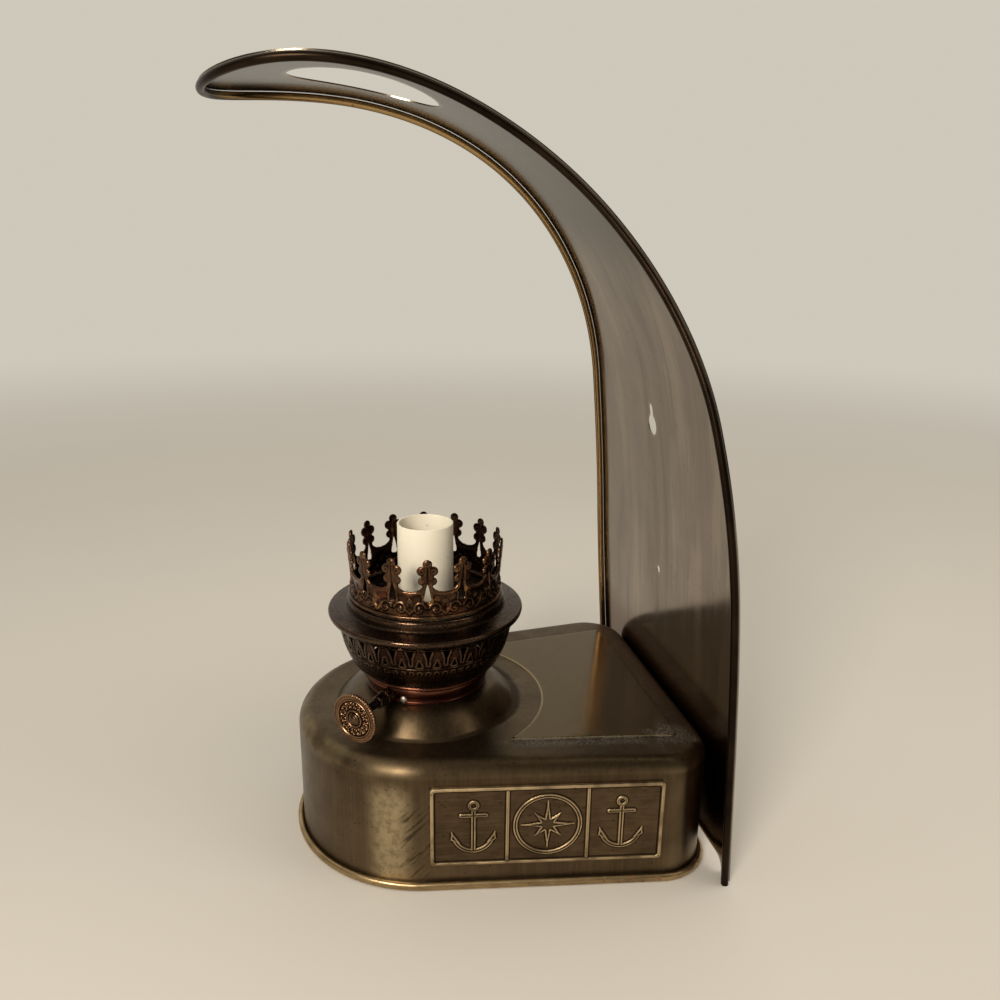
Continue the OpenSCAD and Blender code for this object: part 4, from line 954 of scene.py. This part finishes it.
def tank_marks_and_painted_light(tree, place, colour, roughness):
    """What only the tank shows: painted shade along the shoulder, a painted highlight as a soft golden stretch on the
    wall at the front right with dark scratches, a painted highlight on the front shoulder, the panel's darker
    polished brass with a painted highlight on its raised edge, and pale dust in front of the panel and at the near back
    corner."""
    x, y, z = axis_of(tree, place)
    # Painted shade: a dark band along the upper wall and the shoulder.
    shoulder_shade = math_node(tree, "MULTIPLY", span(tree, z, 0.046, 0.057), span(tree, z, 0.0615, 0.0585))
    colour, roughness = paint_over(tree, shoulder_shade, 0.35, colour, (0.045, 0.03, 0.014), roughness, 0.4)
    turn = math_node(tree, "ARCTAN2", y, x)
    side = math_node(tree, "MULTIPLY", span(tree, turn, -0.6, -0.44), span(tree, turn, -0.18, -0.36))
    # Painted highlight: a soft, mottled golden stretch down the wall at the front right, in place of the key lamp's
    # reflection.
    wall_highlight = math_node(tree, "MULTIPLY", side, span(tree, spot_noise(tree, place, 260.0, 5.0, 0.65), 0.34, 0.6, 0.5))
    wall_highlight = math_node(tree, "MULTIPLY", wall_highlight, span(tree, z, 0.055, 0.042))
    colour, roughness = paint_over(tree, wall_highlight, 0.72, colour, (0.46, 0.36, 0.21), roughness, 0.34)
    tilted = node(tree, "ShaderNodeMapping", {"Vector": place, "Rotation": (-0.8, 0.0, 0.0)}).outputs[0]
    tilted = node(tree, "ShaderNodeVectorMath", {0: tilted, 1: (120.0, 60.0, 700.0)}, operation="MULTIPLY").outputs[0]
    scratch = span(tree, spot_noise(tree, tilted, 1.0, 3.0, 0.6), 0.52, 0.62)
    low = math_node(tree, "MULTIPLY", span(tree, turn, -0.36, -0.26), span(tree, turn, -0.02, -0.14))
    scratch = math_node(tree, "MULTIPLY", scratch, math_node(tree, "MULTIPLY", low, span(tree, z, 0.048, 0.034)))
    colour, roughness = paint_over(tree, scratch, 0.75, colour, (0.02, 0.013, 0.008), roughness, 0.5)
    # Painted highlight: a golden sheen over the front of the shoulder and the top's edge, broken up by noise.
    front = math_node(tree, "MULTIPLY", span(tree, z, 0.05, 0.057), span(tree, z, 0.0611, 0.0602))
    front = math_node(tree, "MULTIPLY", front, span(tree, y, -0.012, -0.05))
    front = math_node(tree, "MULTIPLY", front, span(tree, spot_noise(tree, place, 70.0, 4.0, 0.6), 0.34, 0.6))
    colour, roughness = paint_over(tree, front, 0.45, colour, (0.34, 0.265, 0.15), roughness, 0.3)
    far_out = node(tree, "ShaderNodeVectorMath", {0: place, 1: (1, 1, 0)}, operation="MULTIPLY").outputs[0]
    radius = node(tree, "ShaderNodeVectorMath", {0: far_out}, operation="LENGTH").outputs["Value"]
    panel = math_node(tree, "MULTIPLY", span(tree, z, 0.0612, 0.0616), span(tree, radius, 0.05, 0.055))
    colour, roughness = paint_over(tree, panel, 0.88, colour, (0.135, 0.1, 0.057), roughness, 0.06)
    # Painted highlight: a bright band on the panel's raised edge.
    rim = math_node(tree, "MULTIPLY", span(tree, z, 0.06125, 0.06135), span(tree, z, 0.06178, 0.06168))
    rim = math_node(tree, "MULTIPLY", rim, span(tree, radius, 0.05, 0.055))
    colour, roughness = paint_over(tree, rim, 0.8, colour, (0.42, 0.34, 0.21), roughness, 0.25)
    inward = node(tree, "ShaderNodeVectorMath", {0: place, 1: (-SIDE_OUT[0], -SIDE_OUT[1], 0)},
                  operation="DOT_PRODUCT").outputs["Value"]
    strip = math_node(tree, "MULTIPLY", span(tree, inward, -0.0495, -0.0455), span(tree, inward, -0.0418, -0.0428))
    strip = math_node(tree, "MULTIPLY", strip, span(tree, y, 0.02, 0.045))
    corner = node(tree, "ShaderNodeVectorMath", {0: place, 1: (0.057, 0.103, 0.061)}, operation="DISTANCE").outputs["Value"]
    strip = math_node(tree, "MAXIMUM", strip, span(tree, corner, 0.016, 0.004))
    strip = math_node(tree, "MULTIPLY", strip, span(tree, z, 0.058, 0.0605))
    powder = math_node(tree, "MULTIPLY", strip, span(tree, spot_noise(tree, place, 90.0, 3.0), 0.36, 0.55))
    powder = math_node(tree, "MULTIPLY", powder, span(tree, spot_noise(tree, place, 900.0, 5.0, 0.7), 0.4, 0.6))
    return paint_over(tree, powder, 0.85, colour, (0.38, 0.36, 0.32), roughness, 0.8)


def seam_marks(tree, place, colour, roughness):
    """Red-brown spots on the seam towards its back end, on both sides."""
    x, y, z = axis_of(tree, place)
    spots = math_node(tree, "MULTIPLY", span(tree, y, 0.03, 0.09), span(tree, spot_noise(tree, place, 260.0, 3.0), 0.56, 0.64))
    return paint_over(tree, spots, 0.8, colour, (0.14, 0.045, 0.018), roughness, 0.6)


def sheet_marks_and_painted_light(tree, place, colour, roughness):
    """The reflector's upright smears, a painted dark reflection on the front of its hood, and a painted dark-brown
    reflection on the front of its foot.
    """
    x, y, z = axis_of(tree, place)
    long = node(tree, "ShaderNodeMapping", {"Vector": place, "Scale": (60.0, 14.0, 7.0)}).outputs[0]
    smear = spot_noise(tree, long, 1.0, 5.0, 0.6, 0.4)
    colour, roughness = paint_over(tree, span(tree, smear, 0.52, 0.7), 0.5, colour, (0.13, 0.105, 0.085), roughness, 0.26)
    colour, roughness = paint_over(tree, span(tree, smear, 0.46, 0.36), 0.4, colour, (0.42, 0.35, 0.28), roughness, 0.2)
    facing = tree.nodes.new("ShaderNodeNewGeometry").outputs["Normal"]
    front = node(tree, "ShaderNodeVectorMath", {0: facing, 1: (0, -1, -0.5)}, operation="DOT_PRODUCT").outputs["Value"]
    front = span(tree, front, 0.0, 0.2)
    # Painted reflection: the front of the upper sheet and hood is painted plain dark grey.
    bend = math_node(tree, "ADD", z, math_node(tree, "MULTIPLY", x, 0.2))
    hood = math_node(tree, "MULTIPLY", front, span(tree, bend, 0.25, 0.29))
    colour, roughness = paint_over(tree, hood, 0.82, colour, (0.09, 0.08, 0.071), roughness, 0.14)
    # Painted reflection: a dark-brown zone on the front of the sheet's foot.
    low = math_node(tree, "MULTIPLY", front, span(tree, z, 0.088, 0.066))
    return paint_over(tree, low, 0.8, colour, (0.12, 0.058, 0.034), roughness, 0.1)


def bead_marks(tree, place, colour, roughness):
    """Bright brass painted on the side of the bead that faces the sheet's middle."""
    facing = tree.nodes.new("ShaderNodeNewGeometry").outputs["Normal"]
    side = math_node(tree, "SIGN", axis_of(tree, place)[0])
    inner = math_node(tree, "MULTIPLY", math_node(tree, "MULTIPLY", axis_of(tree, facing)[0], side), -1.0)
    return paint_over(tree, span(tree, inner, 0.15, 0.6), 0.92, colour, (0.46, 0.3, 0.13), roughness, 0.18)


def crown_marks(tree, place, colour, roughness):
    """Amber and red patches on the crown."""
    patchy = spot_noise(tree, place, 150.0, 4.0, 0.6, 0.5)
    colour, roughness = paint_over(tree, span(tree, patchy, 0.56, 0.68), 0.6, colour, (0.34, 0.17, 0.07), roughness, 0.26)
    red = spot_noise(tree, place, 95.0, 2.0)
    return paint_over(tree, span(tree, red, 0.56, 0.66), 0.6, colour, (0.12, 0.035, 0.018), roughness, 0.3)


def stipple(tree, place, colour, roughness):
    """A coarse dark grain on the burner's bronze, and a red-brown tone on its basket."""
    x, y, z = axis_of(tree, place)
    pierced_band = math_node(tree, "MULTIPLY", span(tree, z, 0.0815, 0.083), span(tree, z, 0.1052, 0.1035))
    colour, roughness = paint_over(tree, pierced_band, 0.7, colour, (0.03, 0.0105, 0.006), roughness, 0.2)
    grain = spot_noise(tree, place, 900.0, 2.0)
    return paint_over(tree, span(tree, grain, 0.5, 0.62), 0.6, colour, (0.012, 0.008, 0.006), roughness, 0.45)


def dull(name, colour, shade, rough, grain_scale, grain_depth, coat=0.0, speck=0.04):
    """A plain unshiny finish: two near tones in clouds, a fine grain, and grime in the grooves."""
    made, tree, shader, place = start(name)
    mask = use(tree, "clouds", {"Vector": place, "Scale": 38.0, "Contrast": 0.35})["Mask"]
    tone = blend(tree, mask, rgb(*shade), rgb(*colour))
    worn = use(tree, "wear", {"Vector": place, "Patch Scale": 80.0})
    tone = blend(tree, math_node(tree, "MULTIPLY", worn["Grime"], 0.4), tone, rgb(*[c * 0.4 for c in shade]))
    dots = use(tree, "specks", {"Vector": place, "Scale": 420.0, "Share": speck})["Specks"]
    tone = blend(tree, math_node(tree, "MULTIPLY", dots, 0.35), tone, rgb(*[c * 0.5 for c in shade]))
    tree.links.new(tone, shader.inputs["Base Color"])
    tree.links.new(span(tree, mask, 0.0, 1.0, rough + 0.08, rough - 0.05), shader.inputs["Roughness"])
    shader.inputs["Coat Weight"].default_value = coat
    bump(tree, shader, spot_noise(tree, place, grain_scale, 4.0, 0.6), 0.3, grain_depth)
    return made


FINISH = {
    "patina_brass": metal("patina brass", (0.058, 0.038, 0.021), (0.125, 0.086, 0.048), (0.45, 0.34, 0.2),
                          (0.26, 0.38), 26.0, 0.4, (800.0, 800.0, 12.0), 0.03, 0.3, 0.35, 0.05, tank_marks_and_painted_light, 0.15,
                          0.08, 0.65),
    "seam_brass": metal("seam brass", (0.16, 0.105, 0.05), (0.32, 0.22, 0.105), (0.66, 0.49, 0.27),
                        (0.24, 0.36), 60.0, 0.5, (90.0, 90.0, 900.0), 0.06, 0.6, 0.9, 0.1, seam_marks),
    "plaque_brass": metal("plaque brass", (0.053, 0.033, 0.018), (0.103, 0.067, 0.037), (0.55, 0.41, 0.24),
                          (0.34, 0.5), 45.0, 0.45, (120.0, 120.0, 900.0), 0.04, 0.95, 0.8, 0.08, None, 0.2, 0.08),
    "reflector_brass": metal("reflector brass", (0.165, 0.137, 0.117), (0.28, 0.235, 0.203), (0.46, 0.37, 0.26),
                             (0.08, 0.14), 14.0, 0.3, (700.0, 90.0, 16.0), 0.04, 0.5, 0.4, 0.05, sheet_marks_and_painted_light, 0.06),
    "bead_copper": metal("bead copper", (0.005, 0.0035, 0.003), (0.012, 0.008, 0.006), (0.09, 0.055, 0.03),
                         (0.26, 0.36), 50.0, 0.5, (60.0, 60.0, 60.0), 0.02, 0.1, 0.4, 0.02, bead_marks, 0.05),
    "plated_steel": metal("plated steel", (0.24, 0.21, 0.18), (0.4, 0.34, 0.29), (0.6, 0.52, 0.44),
                          (0.3, 0.45), 120.0, 0.4, (400.0, 400.0, 400.0), 0.05, 0.6, 0.7, 0.1),
    "burner_copper": metal("burner copper", (0.045, 0.013, 0.009), (0.12, 0.036, 0.022), (0.3, 0.13, 0.08),
                           (0.18, 0.3), 55.0, 0.5, (60.0, 60.0, 700.0), 0.04, 0.3, 0.7, 0.1, None, 0.25, 0.12, 0.5),
    "dark_bronze": metal("dark bronze", (0.026, 0.014, 0.009), (0.08, 0.048, 0.031), (0.26, 0.165, 0.1),
                         (0.13, 0.26), 70.0, 0.5, (60.0, 60.0, 900.0), 0.04, 0.3, 0.9, 0.12, stipple, 0.25, 0.15, 0.5),
    "knob_copper": metal("knob copper", (0.055, 0.025, 0.013), (0.15, 0.077, 0.041), (0.42, 0.25, 0.14),
                         (0.22, 0.36), 120.0, 0.45, (300.0, 300.0, 300.0), 0.04, 0.7, 1.0, 0.1),
    "crown_copper": metal("crown copper", (0.016, 0.008, 0.005), (0.056, 0.028, 0.017), (0.26, 0.145, 0.078),
                          (0.16, 0.3), 90.0, 0.5, (90.0, 90.0, 90.0), 0.05, 0.4, 0.9, 0.12, crown_marks),
    "black_rubber": dull("black rubber", (0.03, 0.03, 0.03), (0.02, 0.02, 0.02), 0.65, 500.0, 0.0003),
    "cream_plastic": dull("cream plastic", (0.72, 0.67, 0.55), (0.62, 0.57, 0.45), 0.5, 300.0, 0.0002),
    "lead_plastic": dull("lead plastic", (0.6, 0.55, 0.45), (0.5, 0.45, 0.36), 0.5, 300.0, 0.0002),
    "dark_ceramic": dull("dark ceramic", (0.035, 0.028, 0.022), (0.02, 0.016, 0.013), 0.3, 300.0, 0.0002, 0.4),
    "cream_card": dull("cream card", (0.8, 0.74, 0.6), (0.74, 0.67, 0.53), 0.62, 260.0, 0.0003, 0.0, 0.006),
}


def build_lamp():
    """Every piece that stands for a CAD node, each on the body that carries it."""
    brass, copper, bronze = "patina_brass", "burner_copper", "dark_bronze"
    rows = (
        ("tank", [tank_walls(), tank_panel()], brass, "base", ["tank_shell"], 38),
        ("tank_seam", [seam_and_bottom()], "seam_brass", "base", ["tank_bottom"], 50),
        ("near_plaque", [plaque(1)], "plaque_brass", "base", ["plaque_near"], 60),
        ("far_plaque", [plaque(-1)], "plaque_brass", "base", ["plaque_far"], 60),
        ("bent_reflector", [reflector_sheet()], "reflector_brass", "base", ["reflector"], 40),
        ("reflector_bead", [rim_bead()], "bead_copper", "base", ["rim_bead"], 50),
        ("neck", [burner_neck()], copper, "burner", ["burner_neck"], 40),
        ("neck_ring", [round_ring(30.5, 80.7, 1.1)], copper, "burner", ["basket_ring"], 60),
        ("pierced_basket", [basket()], bronze, "burner", ["basket"], 50),
        ("burner_flange", [flange()], bronze, "burner", ["flange"], 50),
        ("deck_plate", [deck()], bronze, "burner", ["burner_deck"], 50),
        ("rivet_head", [rivet()], "plated_steel", "burner", ["neck_rivet"], 40),
        ("gland_bush", [shaft_bush()], bronze, "burner", ["shaft_bush"], 40),
        ("shaft_rod", [winder_shaft()], bronze, "winder", ["winder_shaft"], 40),
        ("milled_knob", [winder_knob()], "knob_copper", "winder", ["winder_knob"], 60),
        ("knob_washer", [knob_washer()], bronze, "winder", ["knob_rivet"], 40),
        ("lobed_crown", [crown(), round_ring(35.3, 117.5, 0.85)], "crown_copper", "crown", ["crown"], 60),
        ("candle_tube", [candle_sleeve()], "cream_card", "sleeve", ["candle_sleeve"], 50),
    )
    for name, parts, slot, body, nodes, crease in rows:
        make(name, parts, FINISH[slot], body, nodes, crease)


def finish_cad_nodes():
    """The CAD nodes that stay get the finish of their own slot."""
    slots = {row["node"]: row["material_slot"] for row in frame["record"]["subparts"]}
    for name, piece in frame["nodes"].items():
        piece.data.materials.clear()
        piece.data.materials.append(FINISH[slots[name]])


BACKDROP = rgb(0.62, 0.58, 0.5)


def make_floor():
    """A wide, plain, pale floor under the lamp, which far away has the backdrop's own colour."""
    made, tree, shader, place = start("pale floor")
    mask = use(tree, "clouds", {"Vector": place, "Scale": 3.0, "Contrast": 0.2})["Mask"]
    tree.links.new(blend(tree, mask, rgb(0.53, 0.495, 0.44), rgb(0.56, 0.525, 0.465)), shader.inputs["Base Color"])
    shader.inputs["Roughness"].default_value = 0.8
    path = tree.nodes.new("ShaderNodeLightPath").outputs
    seen = math_node(tree, "MAXIMUM", path["Is Camera Ray"], path["Is Glossy Ray"])
    away = node(tree, "ShaderNodeVectorMath", {0: place}, operation="LENGTH").outputs["Value"]
    share = math_node(tree, "MULTIPLY", seen, span(tree, away, 0.45, 2.2))
    plain = node(tree, "ShaderNodeEmission", {"Color": BACKDROP, "Strength": 1.0}).outputs[0]
    mixed = node(tree, "ShaderNodeMixShader", {0: share, 1: shader.outputs[0], 2: plain}).outputs[0]
    tree.links.new(mixed, tree.nodes["Material Output"].inputs["Surface"])
    r = 6.0
    mesh = bpy.data.meshes.new("floor")
    mesh.from_pydata([(-r, -r, 0), (r, -r, 0), (r, r, 0), (-r, r, 0)], [], [(0, 1, 2, 3)])
    mesh.materials.append(made)
    floor = bpy.data.objects.new("floor", mesh)
    bpy.context.scene.collection.objects.link(floor)


def make_world():
    """The camera sees a plain pale backdrop; metal sees it too, darker towards the room in front of the lamp."""
    world = bpy.data.worlds.new("studio")
    bpy.context.scene.world = world
    world.use_nodes = True
    tree = world.node_tree
    tree.nodes.clear()
    way = tree.nodes.new("ShaderNodeTexCoord").outputs["Generated"]
    towards = node(tree, "ShaderNodeVectorMath", {0: way, 1: (-0.9, 0.1, 0.42)}, operation="DOT_PRODUCT").outputs["Value"]
    pale = span(tree, towards, -0.35, 0.75)
    seen = blend(tree, pale, rgb(0.10, 0.088, 0.07), rgb(0.62, 0.58, 0.5))
    path = tree.nodes.new("ShaderNodeLightPath").outputs
    plain = node(tree, "ShaderNodeBackground", {"Color": BACKDROP, "Strength": 1.0}).outputs[0]
    room = node(tree, "ShaderNodeBackground", {"Color": seen, "Strength": 1.0}).outputs[0]
    fill = node(tree, "ShaderNodeBackground", {"Color": rgb(1.0, 0.95, 0.86), "Strength": 0.7}).outputs[0]
    gloss = math_node(tree, "MAXIMUM", path["Is Glossy Ray"], path["Is Transmission Ray"])
    lit = node(tree, "ShaderNodeMixShader", {0: gloss, 1: fill, 2: room}).outputs[0]
    last = node(tree, "ShaderNodeMixShader", {0: path["Is Camera Ray"], 1: lit, 2: plain}).outputs[0]
    tree.links.new(last, tree.nodes.new("ShaderNodeOutputWorld").inputs["Surface"])


def soft_lamp(name, place, target, width, height, watts, colour=(1.0, 0.93, 0.82)):
    """A rectangular soft light at place, facing target, both in metres, hooded so that little falls beside it."""
    data = bpy.data.lights.new(name, "AREA")
    data.spread = math.radians(110)
    data.shape = "RECTANGLE"
    data.size, data.size_y = width, height
    data.energy = watts
    data.color = colour
    lamp = bpy.data.objects.new(name, data)
    bpy.context.scene.collection.objects.link(lamp)
    lamp.location = place
    lamp.rotation_mode = "QUATERNION"
    lamp.rotation_quaternion = (Vector(target) - Vector(place)).to_track_quat("-Z", "Y")


def make_lights():
    """A soft key from the upper left behind the camera, and a wide weak one from above on the right."""
    soft_lamp("key", (0.92, -0.62, 0.72), (0, 0.02, 0.1), 0.36, 0.36, 4.6)
    soft_lamp("fill", (0.3, 1.1, 1.2), (0, 0.02, 0.1), 1.0, 1.0, 3.0)


def make_camera():
    """The photograph's own view: its place, direction and small roll, and a lens of 850 pixels
    in a frame 1000 pixels wide."""
    ahead = Vector((-0.93967, 0.19957, -0.27783)).normalized()
    right = ahead.cross(Vector((0, 0, 1))).normalized()
    up = right.cross(ahead)
    roll = math.radians(0.876)
    across = math.cos(roll) * right + math.sin(roll) * up
    above = -math.sin(roll) * right + math.cos(roll) * up
    data = bpy.data.cameras.new("view")
    data.sensor_width = 36
    data.lens = 36 * 0.85
    data.clip_start, data.clip_end = 0.02, 20
    camera = bpy.data.objects.new("view", data)
    bpy.context.scene.collection.objects.link(camera)
    turn = Matrix((across, above, -ahead)).transposed().to_4x4()
    camera.matrix_world = Matrix.Translation(Vector((373.931, -44.169, 269.817)) * MM) @ turn
    bpy.context.scene.camera = camera


bpy.context.scene.view_settings.view_transform = "Standard"
make_camera()
make_world()
make_lights()
make_floor()
finish_cad_nodes()
build_lamp()
